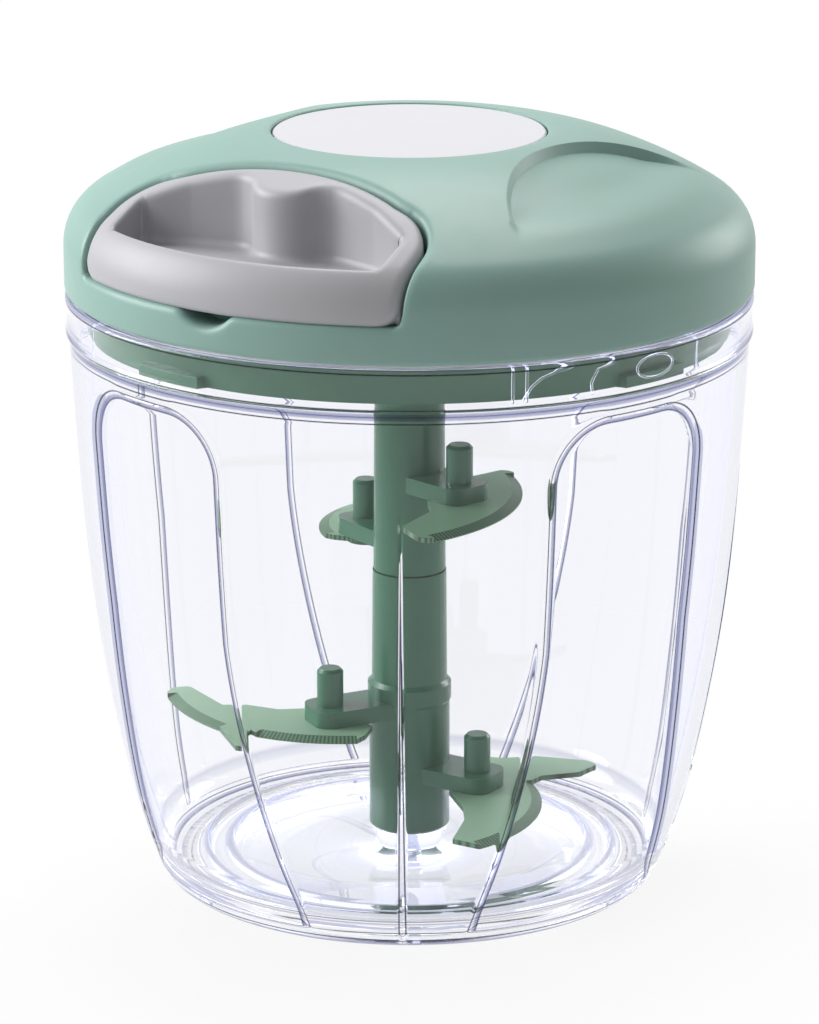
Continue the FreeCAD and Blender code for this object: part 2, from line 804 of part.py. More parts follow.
def make_lid():
    outer = dome_solid("lid_outside", 0, lid_bottom, edge=s.lid_edge_round)
    below = lid_bottom - s.overshoot
    void = dome_solid("lid_inside", s.lid_wall, below)
    deep_void = dome_solid("lid_inside_deep", s.lid_wall, below, s.scoop_backing)
    backing = scoop_pair("scoop_backing", s.scoop_backing, below, tall)
    thin_void = cut("lid_void_plain", void, fuse("scoop_backings", backing))
    plan = handle_plan(s.handle_gap + s.pocket_wall)
    block = prism("pocket_block", plan, pocket_floor - s.pocket_wall, tall)
    bosses = on_screw_circle("screw_boss", s.screw_boss_radius, plate_top, tall)
    axle_boss = cylinder("axle_boss", s.axle_radius + s.axle_boss_wall, axle_boss_bottom, tall)
    crown_pad = cylinder("crown_pad", s.disc_radius + s.disc_backing, crown_under, tall)
    notch_axis = pocket_floor - s.notch_depth + s.notch_radius
    notch_back = along_y("notch_backing", s.notch_radius + s.notch_wall,
                         s.lid_radius - s.notch_length - s.overshoot, s.lid_radius, notch_axis)
    full_void = fuse("lid_void_all", [thin_void, deep_void])
    posts = fuse("lid_inner_posts", [block, axle_boss, crown_pad, notch_back] + bosses)
    void_left = cut("lid_void", full_void, posts)
    shell = cut("lid_shell", outer, void_left)
    pocket = prism("pocket_cut", handle_plan(s.handle_gap), pocket_floor, tall)
    side = dome_points(0)
    depth = s.scoop_depth
    above = crown_top + s.overshoot
    rim = s.lid_radius - s.scoop_floor_in
    fields = fuse("scoop_fields", scoop_pair("scoop_field", 0, lid_bottom, tall))
    floor = turned("scoop_floor", [
        (s.disc_radius, above),
        (s.disc_radius + s.overshoot, crown_top - depth - s.scoop_crown_drop, -s.crown_bend),
        (side[2][0], side[2][1] - depth, -s.brow_bend),
        (rim, lid_bottom + s.scoop_rim_rise),
        (rim + s.scoop_lip, lid_bottom + s.scoop_rim_rise - s.scoop_lip_drop),
        (s.lid_radius + s.overshoot, above),
    ])
    scoops = common("scoop_cuts", [fields, floor])
    disc_seat = cylinder("disc_seat", s.disc_radius + s.disc_gap,
                         crown_top - s.disc_set_back - s.disc_thickness, tall)
    axle_bore = cylinder("axle_bore", s.axle_radius + s.fixed_fit, axle_boss_bottom - s.overshoot,
                         s.axle_boss_depth + s.overshoot)
    pilot_holes = on_screw_circle("pilot_hole", s.screw_radius + s.fixed_fit, lid_bottom,
                                  s.screw_length + s.screw_end_gap)
    cord_hole = along_y("cord_hole", eyelet_radius + s.fixed_fit, eyelet_end - s.overshoot,
                        s.handle_back + s.overshoot, cord_rise)
    notch = along_y("finger_notch", s.notch_radius, s.lid_radius - s.notch_length,
                    s.lid_radius + s.overshoot, notch_axis)
    cuts = fuse("lid_cuts", [pocket, scoops, disc_seat, axle_bore, cord_hole, notch] + pilot_holes)
    finish(cut("lid_cover", shell, cuts))


def make_disc():
    top = crown_top - s.disc_set_back
    bottom = top - s.disc_thickness
    finish(turned("lid_top_disc", [
        (0, bottom),
        (s.disc_radius, bottom),
        (s.disc_radius, top - s.disc_edge_round),
        (s.disc_radius - s.disc_edge_round, top),
        (0, top),
    ]))


def grip_plan():
    # The finger opening's outline in plan: straight sides and a wavy back with a bulge in its middle.
    front = s.lid_radius - s.handle_set_back - s.grip_front_bar
    side = s.handle_half_width - s.grip_side_bar
    side_y = -(s.handle_back + s.handle_side_in - s.grip_side_rise)
    front_y = s.grip_front_corner - front
    lobe = -(s.handle_back + s.grip_back_bar)
    dip = lobe - s.grip_back_dip
    bulge = s.grip_back_dip - (s.handle_back + s.bulge_reach)
    half = s.bulge_half_width
    foot = half + s.bulge_foot
    shoulder = side - s.grip_back_slope
    return [
        (side, front_y, -front),
        (-side, front_y),
        (-side, side_y),
        (-shoulder, dip),
        (-foot, lobe, -s.bulge_foot_bend),
        (-half, bulge, s.bulge_bend),
        (half, bulge, -s.bulge_foot_bend),
        (foot, lobe),
        (shoulder, dip),
        (side, side_y),
    ]


def make_handle():
    # The grip is a cup: its opening ends at a floor, and the space under that floor is hollow.
    block = prism("handle_block", handle_plan(0), handle_floor, tall)
    dome = dome_solid("handle_dome", s.handle_set_back, lid_bottom - s.overshoot)
    body = common("handle_body", [block, dome])
    opening = prism("grip_opening", grip_plan(), grip_floor, tall)
    under = prism("grip_underside", grip_plan(), handle_floor - s.overshoot,
                  s.grip_floor_rise - s.grip_floor_thickness + s.overshoot)
    pocket_radius = s.knot_radius + s.knot_gap
    hollow = cylinder("knot_pocket", pocket_radius, handle_floor - s.overshoot,
                      cord_rise + pocket_radius - handle_floor + s.overshoot, 0, -knot_reach)
    lead_hole = along_y("lead_hole", s.cord_radius + s.cord_clearance, s.handle_back - s.overshoot,
                        knot_reach, cord_rise)
    finish(cut("pull_handle", body, fuse("handle_cuts", [opening, under, hollow, lead_hole])))


def make_lid_base():
    skirt_bottom = plate_bottom - s.skirt_depth
    skirt_inner = skirt_radius - s.skirt_wall
    hub_bore = s.spindle_radius + s.running_fit + s.bush_wall + s.fixed_fit
    groove = skirt_radius - s.seal_groove
    seal_groove_bottom = plate_bottom - s.seal_height - s.seal_gap * 2
    plate = turned("lid_base_plate", [
        (hub_bore, plate_bottom - s.hub_drop),
        (hub_bore + s.hub_wall, plate_bottom - s.hub_drop),
        (hub_bore + s.hub_wall, plate_bottom),
        (skirt_inner, plate_bottom),
        (skirt_inner, skirt_bottom),
        (skirt_radius, skirt_bottom),
        (skirt_radius, seal_groove_bottom),
        (groove, seal_groove_bottom),
        (groove, plate_bottom),
        (lid_inner - s.base_plate_gap, plate_bottom),
        (lid_inner - s.base_plate_gap, plate_top),
        (hub_bore, plate_top),
    ])
    lugs = new_body("bayonet_lugs")
    lug = revolve(lugs, [
        (skirt_inner + s.merge_depth, lug_bottom),
        (skirt_radius + s.bayonet_lug_reach, lug_bottom),
        (skirt_radius + s.bayonet_lug_reach, lug_bottom + s.bayonet_lug_height),
        (skirt_inner + s.merge_depth, lug_bottom + s.bayonet_lug_height),
    ], s.bayonet_lug_span)
    round_about(lugs, lug, 4)
    place(lugs, turn=s.bayonet_turn)
    holes = on_screw_circle("base_screw_hole", s.screw_radius + s.running_fit,
                            plate_bottom - s.overshoot, s.base_plate + s.overshoot * 2)
    finish(cut("lid_base", fuse("lid_base_blank", [plate, lugs]), fuse("base_screw_holes", holes)))


def make_seal():
    inner = skirt_radius - s.seal_groove + s.seal_gap
    outer = collar_inner - s.seal_gap
    top = plate_bottom - s.seal_gap
    half = s.seal_height / 2
    finish(turned("seal_ring", [
        (inner, top - s.seal_height),
        (outer - half, top - s.seal_height, half + s.seal_flat),
        (outer - half, top),
        (inner, top),
    ]))


def make_screws():
    shanks = on_screw_circle("screw_shank", s.screw_radius, plate_bottom, s.screw_length)
    heads = on_screw_circle("screw_head", s.screw_head_radius, plate_bottom - s.screw_head_height,
                            s.screw_head_height)
    screws = []
    for number, (shank, head) in enumerate(zip(shanks, heads), 1):
        screws.append(fuse("lid_screw_%d" % number, [shank, head]))
    finish(group("lid_screws", screws))


def make_axle():
    tapped = s.axle_screw_radius + s.fixed_fit
    top = axle_boss_bottom + s.axle_boss_depth - s.axle_end_gap
    finish(turned("reel_axle", [
        (tapped, washer_top),
        (s.axle_radius, washer_top),
        (s.axle_radius, top - s.axle_chamfer),
        (s.axle_radius - s.axle_chamfer, top),
        (0, top),
        (0, washer_top + s.axle_screw_length + s.tap_end_gap),
        (tapped, washer_top + s.axle_screw_length + s.tap_end_gap),
    ]))
    washer_bottom = washer_top - s.washer_thickness
    finish(ring("axle_washer", tapped, (dog_core_radius + s.washer_lip), washer_bottom, washer_top))
    head_radius = s.axle_screw_radius * 2
    finish(turned("axle_screw", [
        (0, washer_bottom - s.axle_screw_head),
        (head_radius - s.axle_chamfer, washer_bottom - s.axle_screw_head),
        (head_radius, washer_bottom - s.axle_screw_head + s.axle_chamfer),
        (head_radius, washer_bottom),
        (s.axle_screw_radius, washer_bottom),
        (s.axle_screw_radius, washer_top + s.axle_screw_length),
        (0, washer_top + s.axle_screw_length),
    ]))


def make_arbor():
    finish(ring("spring_arbor", s.axle_radius + s.fixed_fit, arbor_radius, cup_floor + s.end_play,
                axle_boss_bottom))


def make_reel():
    key = key_radius + s.fixed_fit * 2
    bore = s.axle_radius + s.running_fit
    key_top = hub_bottom + s.spindle_key_length + s.axle_end_gap
    body = turned("reel_drum", [
        (bore, hub_bottom),
        (s.reel_hub_radius, hub_bottom),
        (s.reel_hub_radius, reel_bottom),
        (reel_flange_radius, reel_bottom),
        (reel_flange_radius, groove_bottom),
        (reel_core_radius, groove_bottom),
        (reel_core_radius, groove_top),
        (reel_flange_radius, groove_top),
        (reel_flange_radius, reel_top),
        (s.reel_cup_radius, reel_top),
        (s.reel_cup_radius, cup_floor),
        (bore, cup_floor),
    ])
    socket = hexagon("reel_key_socket", key, hub_bottom - s.overshoot, key_top - hub_bottom + s.overshoot)
    finish(cut("reel", body, socket))
    finish(ring("reel_cover", arbor_radius + s.end_play, s.reel_cover_radius, reel_top,
                reel_top + s.reel_cover))
    finish(ring("cord_winding", reel_core_radius + s.winding_gap, winding_outer,
                groove_bottom + s.winding_gap, groove_top - s.winding_gap))


def hexagon(name, radius, bottom, height):
    # A six-sided bar about +Z, measured to its corners.
    points = []
    for step in range(6):
        angle = math.radians(60 * step)
        points.append((radius * math.cos(angle), radius * math.sin(angle)))
    return prism(name, points, bottom, height)


def make_mainspring():
    # A flat strip wound in half turns, each centred half a pitch aside from the last.
    strip = s.spring_strip.value
    pitch = s.spring_pitch.value
    bottom = (cup_floor + s.spring_side_gap).value
    height = (reel_top - cup_floor - s.spring_side_gap * 2).value
    first = (arbor_radius + s.spring_wall_gap).value + pitch / 4
    last = (s.reel_cup_radius - s.spring_wall_gap - s.spring_strip).value - pitch / 4
    halves = int((last - first) / (pitch / 2))
    inner, outer = [], []
    for number in range(halves):
        radius = first + pitch / 2 * number
        side = 1 if number % 2 == 0 else -1
        centre = FreeCAD.Vector(-pitch / 4 * side, 0, bottom)
        for edges, wide in ((inner, radius), (outer, radius + strip)):
            points = []
            for angle in (0, 90, 180):
                turn = math.radians(angle + (0 if side > 0 else 180))
                spot = FreeCAD.Vector(math.cos(turn) * wide, math.sin(turn) * wide, 0)
                points.append(centre + spot)
            edges.append(Part.Arc(*points).toShape())
    closing = [
        Part.LineSegment(inner[0].Vertexes[0].Point, outer[0].Vertexes[0].Point).toShape(),
        Part.LineSegment(inner[-1].Vertexes[-1].Point, outer[-1].Vertexes[-1].Point).toShape(),
    ]
    wire = Part.Wire(Part.__sortEdges__(inner + outer + closing))
    spring = doc.addObject("Part::Feature", "mainspring")
    spring.Label = "mainspring"
    spring.Shape = Part.Face(wire).extrude(FreeCAD.Vector(0, 0, height))
    spring.Placement = FreeCAD.Placement()
    print("mainspring gap between turns %.2f" % (pitch - strip))
    finish(spring)


def make_spindle():
    bore = s.axle_radius + s.running_fit
    barrel = turned("spindle_barrel", [
        (bore, spindle_bottom),
        (dog_core_radius, spindle_bottom),
        (dog_core_radius, spindle_shoulder),
        (s.spindle_radius, spindle_shoulder),
        (s.spindle_radius, hub_bottom - s.hub_face_gap),
        (bore, hub_bottom - s.hub_face_gap),
    ])
    dogs = new_body("spindle_dogs")
    dog = revolve(dogs, [
        (dog_core_radius - s.merge_depth, spindle_bottom),
        (dog_radius, spindle_bottom),
        (dog_radius, spindle_shoulder + s.hub_face_gap),
        (dog_core_radius - s.merge_depth, spindle_shoulder + s.hub_face_gap),
    ], s.dog_span)
    round_about(dogs, dog, 3)
    key_blank = hexagon("spindle_key_blank", key_radius, hub_bottom - s.hub_face_gap * 2,
                        s.spindle_key_length + s.hub_face_gap * 2)
    key_bore = cylinder("spindle_key_bore", bore, spindle_bottom, tall)
    key = cut("spindle_key", key_blank, key_bore)
    finish(fuse("drive_spindle", [barrel, dogs, key]))


def make_spindle_bush():
    inner = s.spindle_radius + s.running_fit
    outer = inner + s.bush_wall
    finish(turned("spindle_bush", [
        (inner, plate_bottom - s.bush_depth),
        (outer, plate_bottom - s.bush_depth),
        (outer, plate_top),
        (outer + s.bush_flange_width, plate_top),
        (outer + s.bush_flange_width, plate_top + s.bush_flange),
        (inner, plate_top + s.bush_flange),
    ]))


def make_eyelet():
    # The eyelet's axis is the cord's. It is drawn about +Z and tipped towards the handle.
    wall_outer = s.handle_back - s.handle_gap
    wall_inner = wall_outer - s.pocket_wall
    bore = s.cord_radius + s.cord_clearance
    eyelet = turned("cord_eyelet", [
        (bore, wall_inner - s.eyelet_flange),
        (eyelet_radius + s.eyelet_flange_width, wall_inner - s.eyelet_flange),
        (eyelet_radius + s.eyelet_flange_width, wall_inner - s.hub_face_gap / 2),
        (eyelet_radius, wall_inner - s.hub_face_gap / 2),
        (eyelet_radius, wall_outer),
        (bore, wall_outer),
    ])
    eyelet.Placement = FreeCAD.Placement(FreeCAD.Vector(), FreeCAD.Rotation(FreeCAD.Vector(1, 0, 0), 90))
    bind(eyelet, "Placement.Base.z", cord_rise)
    finish(eyelet)


def make_cord():
    # The lead leaves the reel on its left, bends into the eyelet and ends at the knot in the handle.
    leave = (winding_outer + s.cord_radius + s.cord_seat).value
    corner = (eyelet_end - s.cord_turn_in).value
    rise = cord_rise.value
    bend = s.cord_bend.value
    angle = math.acos(leave / corner)
    start = FreeCAD.Vector(-leave * math.sin(angle), -leave * math.cos(angle), rise)
    turn_point = FreeCAD.Vector(0, -corner, rise)
    end = FreeCAD.Vector(0, (s.knot_radius + s.cord_end_gap - knot_reach).value, rise)
    come = (turn_point - start).normalize()
    go = (end - turn_point).normalize()
    swing = come.getAngle(go)
    back = bend * math.tan(swing / 2)
    before = turn_point - come * back
    after = turn_point + go * back
    inward = (go - come).normalize()
    middle = turn_point + inward * (bend / math.cos(swing / 2) - bend)
    path = Part.Wire([
        Part.LineSegment(start, before).toShape(),
        Part.Arc(before, middle, after).toShape(),
        Part.LineSegment(after, end).toShape(),
    ])
    section = Part.Wire(Part.Circle(start, come, s.cord_radius.value).toShape())
    cord = doc.addObject("Part::Feature", "pull_cord")
    cord.Label = "pull_cord"
    cord.Shape = path.makePipeShell([section], True, False)
    cord.Placement = FreeCAD.Placement()
    print("pull cord bend radius %.1f length %.1f" % (bend, path.Length))
    finish(cord)
    knot = doc.addObject("Part::Sphere", "cord_knot")
    knot.Label = "cord_knot"
    bind(knot, "Radius", s.knot_radius)
    place(knot, 0, -knot_reach, cord_rise)
    finish(knot)


def arm_blank(name):
    arm = arms[name]
    rise = getattr(s, "arm_" + name + "_rise")
    tip = getattr(s, "arm_" + name + "_reach") + s.arm_tip_reach
    blank = prism("arm_" + name, [
        (0, -s.arm_root_half),
        (tip - s.arm_corner, -s.arm_tip_half, s.arm_corner),
        (tip, s.arm_corner - s.arm_tip_half),
        (tip, s.arm_tip_half - s.arm_corner, s.arm_corner),
        (tip - s.arm_corner, s.arm_tip_half),
        (0, s.arm_root_half),
    ], rise - s.arm_thickness, s.arm_thickness)
    return place(blank, turn=getattr(s, "arm_" + name + "_turn") + s.blade_turn)


def at_stud(name, arm, radius, bottom, height):
    # A cylinder about the stud of one arm.
    turn = math.radians(arms[arm]["turn"] + angles["blade_turn"])
    reach = getattr(s, "arm_" + arm + "_reach")
    return cylinder(name, radius, bottom, height, reach * math.cos(turn), reach * math.sin(turn))


def stud_hole(arm, bottom, height):
    return at_stud("stud_hole_" + arm + "_%d" % len(doc.Objects), arm, s.stud_radius + s.fixed_fit,
                   bottom, height)


def make_shaft():
    bush_outer = s.pivot_pin_radius + s.running_fit + s.shaft_bush_wall + s.fixed_fit
    bush_top = shaft_bottom + s.shaft_bush_length + s.hub_face_gap
    bore_top = pin_top + s.thrust_gap
    ring_bottom = s.shaft_collar_bottom
    ring_top = ring_bottom + s.shaft_collar_height
    seam = s.seam_rise - s.seam_gap
    barrel = turned("shaft_barrel", [
        (bush_outer, shaft_bottom),
        (s.shaft_foot_radius - s.shaft_chamfer, shaft_bottom),
        (s.shaft_foot_radius, shaft_bottom + s.shaft_chamfer),
        (s.shaft_foot_radius, ring_bottom - s.shaft_chamfer),
        (shaft_collar_radius, ring_bottom),
        (shaft_collar_radius, ring_top - s.shaft_collar_round),
        (shaft_collar_radius - s.shaft_collar_round, ring_top),
        (sleeve_foot_radius + s.seam_step, seam),
        (stub_radius, seam),
        (stub_radius, seam + s.stub_length - s.shaft_chamfer),
        (stub_radius - s.shaft_chamfer, seam + s.stub_length),
        (0, seam + s.stub_length),
        (0, bore_top),
        (s.pivot_pin_radius + s.thrust_gap, bore_top),
        (s.pivot_pin_radius + s.thrust_gap, bush_top),
        (bush_outer, bush_top),
    ])
    cores = []
    holes = []
    for name in ("lower_left", "lower_right"):
        rise = getattr(s, "arm_" + name + "_rise")
        cores.append(arm_blank(name))
        holes.append(stud_hole(name, rise - s.arm_thickness - s.overshoot,
                               s.arm_thickness + s.overshoot * 2))
    bore = turned("shaft_bore_clearance", [
        (0, shaft_bottom - s.overshoot),
        (bush_outer, shaft_bottom - s.overshoot),
        (bush_outer, bush_top),
        (s.pivot_pin_radius + s.thrust_gap, bush_top),
        (s.pivot_pin_radius + s.thrust_gap, bore_top),
        (0, bore_top),
    ])
    blank = fuse("blade_shaft_blank", [barrel] + cores)
    finish(cut("blade_shaft", blank, fuse("blade_shaft_cuts", holes + [bore])))
    bush_inner = s.pivot_pin_radius + s.running_fit
    finish(ring("shaft_bush", bush_inner, bush_inner + s.shaft_bush_wall, shaft_bottom,
                shaft_bottom + s.shaft_bush_length))


def make_sleeve():
    stub_bore = stub_radius + s.stub_fit
    stub_top = s.seam_rise - s.seam_gap + s.stub_length + s.stub_end_gap
    socket_bottom = sleeve_top - s.socket_depth
    barrel = turned("sleeve_barrel", [
        (0, stub_top),
        (stub_bore, stub_top),
        (stub_bore, s.seam_rise),
        (sleeve_foot_radius, s.seam_rise),
        (sleeve_foot_radius, s.seam_rise + s.sleeve_foot_height),
        (s.sleeve_radius, sleeve_top - s.shaft_chamfer),
        (s.sleeve_radius - s.shaft_chamfer, sleeve_top),
        (socket_radius, sleeve_top),
        (socket_radius, socket_bottom),
        (0, socket_bottom),
    ])
    ribs = new_body("socket_ribs")
    rib = revolve(ribs, [
        (dog_core_radius + s.socket_rib_gap, socket_bottom - s.hub_face_gap),
        (socket_radius + s.merge_depth, socket_bottom - s.hub_face_gap),
        (socket_radius + s.merge_depth, sleeve_top - s.socket_rib_drop),
        (dog_core_radius + s.socket_rib_gap, sleeve_top - s.socket_rib_drop),
    ], s.socket_rib_span)
    round_about(ribs, rib, 3)
    place(ribs, turn=-(s.dog_span / 2 + s.dog_lead + s.socket_rib_span / 2))
    cores = []
    holes = []
    for name in ("upper_right", "upper_left"):
        rise = getattr(s, "arm_" + name + "_rise")
        cores.append(arm_blank(name))
        holes.append(stud_hole(name, rise - s.arm_thickness - s.overshoot,
                               s.arm_thickness + s.overshoot * 2))
    bore = cylinder("sleeve_stub_clearance", stub_bore, s.seam_rise - s.overshoot,
                    stub_top - s.seam_rise + s.overshoot)
    blank = fuse("blade_sleeve_blank", [barrel, ribs] + cores)
    finish(cut("upper_blade_sleeve", blank, fuse("blade_sleeve_cuts", holes + [bore])))


# Blade outlines in plan, in the blade unit's own frame: x to the right, y to the back, then the
# radius of the arc that leaves the point, below zero where it turns right.
blades = {
    "upper_right": [
        (12.3, 5.8),
        (17.6, 9.9, -2.4),
        (20.2, 8.0, -41.0),
        (4.5, -35.8, -3.0),
        (1.5, -35.2),
        (-1.4, -28.7),
        (3.9, -18.5),
        (3.4, -11.5),
    ],
    "upper_left": [
        (-4.6, 7.4),
        (-9.0, 7.2),
        (-14.6, 9.0),
        (-16.4, 10.2, -22.0),
        (-6.0, 37.5, -3.0),
        (-1.5, 36.9, -12.0),
        (1.1, 32.1),
        (-4.4, 17.3),
        (-3.9, 11.7),
    ],
    "lower_left": [
        (-7.1, -10.4),
        (-8.4, -15.6),
        (-9.9, -18.0, -33.0),
        (-29.2, -14.0),
        (-30.5, -12.6),
        (-31.5, -22.6),
        (-32.8, -22.2),
        (-36.4, -11.0, -47.0),
        (-47.6, 8.6, -3.6),
        (-43.3, 12.9),
        (-36.4, 1.8),
        (-31.6, 2.2),
        (-25.5, -0.5),
        (-19.5, 0.1),
        (-13.0, -0.8),
    ],
    "lower_right": [
        (11.9, 9.8),
        (17.9, 8.2),
        (24.8, 8.9),
        (34.6, 6.3),
        (36.4, 4.6, -1.2),
        (36.0, 3.0),
        (33.2, -0.5),
        (25.7, -2.6),
        (23.8, -5.0, -32.0),
        (12.9, -40.1),
        (8.0, -37.2),
        (10.4, -26.5),
        (10.2, -20.0),
        (7.6, -10.5),
    ],
}
# Which edges of each outline are ground to a bevel, counted from its first point
ground = {
    "upper_right": (2,),
    "upper_left": (3,),
    "lower_left": (2, 7),
    "lower_right": (8,),
}


def grinding_ring(name, number, bottom, top):
    # The sector of a ring whose sloping inside grinds one arc of a blade's outline to a bevel.
    points = blades[name]
    start = FreeCAD.Vector(points[number][0], points[number][1], 0)
    following = points[(number + 1) % len(points)]
    end = FreeCAD.Vector(following[0], following[1], 0)
    arc = arc_between(start, end, points[number][2])
    radius = abs(points[number][2])
    span = math.degrees(arc.LastParameter - arc.FirstParameter)
    middle = math.degrees((arc.LastParameter + arc.FirstParameter) / 2)
    tool = turned("grinding_ring_%s_%d" % (name, number), [
        (radius, bottom + s.blade_land),
        (radius + s.overshoot, bottom + s.blade_land),
        (radius + s.overshoot, top + s.merge_depth),
        (radius - s.blade_bevel, top + s.merge_depth),
        (radius - s.blade_bevel, top),
    ], span)
    return place(tool, arc.Center.x, arc.Center.y, turn=middle)


def make_blade(name):
    top = getattr(s, "arm_" + name + "_rise") - s.arm_thickness - s.blade_gap
    bottom = top - s.blade_thickness
    body = prism("blade_blank_" + name, blades[name], bottom, s.blade_thickness)
    rings = [grinding_ring(name, number, bottom, top) for number in ground[name]]
    bevelled = cut("blade_ground_" + name, body, group("grinding_" + name, rings))
    place(bevelled, turn=s.blade_turn)
    hole = stud_hole(name, bottom - s.overshoot, s.blade_thickness + s.overshoot * 2)
    finish(cut("blade_" + name, bevelled, hole))


def stud_crown(name, arm, bottom):
    # The bevelled top of a stud.
    turn = math.radians(arms[arm]["turn"] + angles["blade_turn"])
    reach = getattr(s, "arm_" + arm + "_reach")
    crown = doc.addObject("Part::Cone", name)
    bind(crown, "Radius1", s.stud_radius)
    bind(crown, "Radius2", s.stud_radius - s.stud_round)
    bind(crown, "Height", s.stud_round)
    return place(crown, reach * math.cos(turn), reach * math.sin(turn), bottom)


def make_studs():
    studs = []
    for name in arms:
        rise = getattr(s, "arm_" + name + "_rise")
        under = rise - s.arm_thickness - s.blade_gap - s.blade_thickness
        length = s.stud_height + s.arm_thickness + s.blade_gap + s.blade_thickness
        post = at_stud("stud_post_" + name, name, s.stud_radius, under - s.hub_face_gap,
                       length + s.hub_face_gap - s.stud_round)
        crown = stud_crown("stud_crown_" + name, name, under + length - s.stud_round)
        head = at_stud("stud_head_" + name, name, s.stud_head_radius, under - s.stud_head_height,
                       s.stud_head_height)
        studs.append(fuse("stud_" + name, [post, crown, head]))
    finish(group("blade_studs", studs))


for make in (make_bowl, make_pivot_pin, make_lid, make_disc, make_handle, make_lid_base, make_seal,
             make_screws, make_axle, make_arbor, make_reel, make_mainspring, make_spindle,
             make_spindle_bush, make_eyelet, make_cord, make_shaft, make_sleeve, make_studs):
    make()
for blade in blades:
    make_blade(blade)

doc.recompute()
faults = []
for obj in doc.Objects:
    if "Invalid" in obj.State or "Error" in obj.State:
        faults.append(obj.Label + " " + str(obj.State))
for obj in finished:
    if obj.Shape.isNull() or not obj.Shape.isValid():
        faults.append(obj.Label + " has no valid shape")
if faults:
    raise RuntimeError("; ".join(faults))
os.makedirs("parts", exist_ok=True)
for obj in finished:
    obj.Shape.exportStep("parts/" + obj.Label + ".step")
    print(obj.Label, "solids", len(obj.Shape.Solids), "volume %.1f" % obj.Shape.Volume)
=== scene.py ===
import math

import bmesh
import bpy
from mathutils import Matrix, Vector


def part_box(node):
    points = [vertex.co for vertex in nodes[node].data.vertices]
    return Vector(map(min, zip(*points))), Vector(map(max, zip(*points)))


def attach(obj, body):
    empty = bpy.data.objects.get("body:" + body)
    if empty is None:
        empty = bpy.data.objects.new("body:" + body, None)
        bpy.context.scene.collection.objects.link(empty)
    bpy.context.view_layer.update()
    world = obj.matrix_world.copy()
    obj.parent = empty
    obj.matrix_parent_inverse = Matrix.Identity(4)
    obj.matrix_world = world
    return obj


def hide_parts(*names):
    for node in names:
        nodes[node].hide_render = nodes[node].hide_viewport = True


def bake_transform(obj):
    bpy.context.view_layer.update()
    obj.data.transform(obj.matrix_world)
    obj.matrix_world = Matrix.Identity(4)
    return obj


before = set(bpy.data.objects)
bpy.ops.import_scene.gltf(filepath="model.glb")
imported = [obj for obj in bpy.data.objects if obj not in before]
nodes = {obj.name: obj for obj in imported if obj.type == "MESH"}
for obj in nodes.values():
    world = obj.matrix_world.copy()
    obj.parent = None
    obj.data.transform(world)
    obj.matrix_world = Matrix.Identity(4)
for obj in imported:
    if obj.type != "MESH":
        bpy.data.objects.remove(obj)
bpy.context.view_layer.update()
mm = 0.001
print("frame loaded with", len(nodes), "nodes")


# Camera: it looks at the bowl's axis from the front right, slightly from above.
cameraView = {
    "azimuth": 34.4,      # degrees round the object from the handle's side
    "distance": 0.8216,   # from the axis, level
    "height": 0.310,
    "pitch": 16.245,      # degrees below level
    "lens": 157.0,
    "sensor": 36.0,
    "clip": (0.01, 20.0),
}


def makeCamera(settings):
    data = bpy.data.cameras.new("camera")
    data.lens = settings["lens"]
    data.sensor_width = settings["sensor"]
    data.clip_start, data.clip_end = settings["clip"]
    camera = bpy.data.objects.new("camera", data)
    turn = math.radians(settings["azimuth"])
    away = settings["distance"]
    camera.location = (math.sin(turn) * away, -math.cos(turn) * away, settings["height"])
    camera.rotation_euler = (math.radians(90.0 - settings["pitch"]), 0.0, turn)
    bpy.context.scene.collection.objects.link(camera)
    bpy.context.scene.camera = camera


makeCamera(cameraView)
print("camera placed")


# Shader nodes: an input takes a value, or the output of another node.
def feed(tree, node, inputs):
    for key, value in inputs.items():
        if isinstance(value, bpy.types.NodeSocket):
            tree.links.new(value, node.inputs[key])
        else:
            node.inputs[key].default_value = value


def added(tree, kind, inputs, **settings):
    node = tree.nodes.new(kind)
    for key, value in settings.items():
        setattr(node, key, value)
    feed(tree, node, inputs)
    return node


def newMaterial(name):
    material = bpy.data.materials.new(name)
    material.use_nodes = True
    tree = material.node_tree
    return material, tree, tree.nodes["Principled BSDF"]


def objectPlace(tree):
    return tree.nodes.new("ShaderNodeTexCoord").outputs["Object"]


def paired(tree, operation, first, second):
    # One step of arithmetic
    return added(tree, "ShaderNodeMath", {0: first, 1: second}, operation=operation).outputs[0]


def ranged(tree, value, low, high, start=0.0, end=1.0, easing="LINEAR"):
    # Goes from low to high as the value goes from start to end
    inputs = {"Value": value, "From Min": start, "From Max": end, "To Min": low, "To Max": high}
    return added(tree, "ShaderNodeMapRange", inputs, interpolation_type=easing).outputs["Result"]


def mixedColor(tree, share, first, second, blend="MIX"):
    inputs = {"Factor": share, "A": first, "B": second}
    return added(tree, "ShaderNodeMix", inputs, data_type="RGBA", blend_type=blend).outputs["Result"]


def showEither(tree, share, usual, other):
    # The surface shows the usual shader, and the other one by its share
    either = added(tree, "ShaderNodeMixShader", {"Fac": share, 1: usual, 2: other})
    feed(tree, tree.nodes["Material Output"], {"Surface": either.outputs["Shader"]})


def opaque(color):
    return (*color, 1.0)


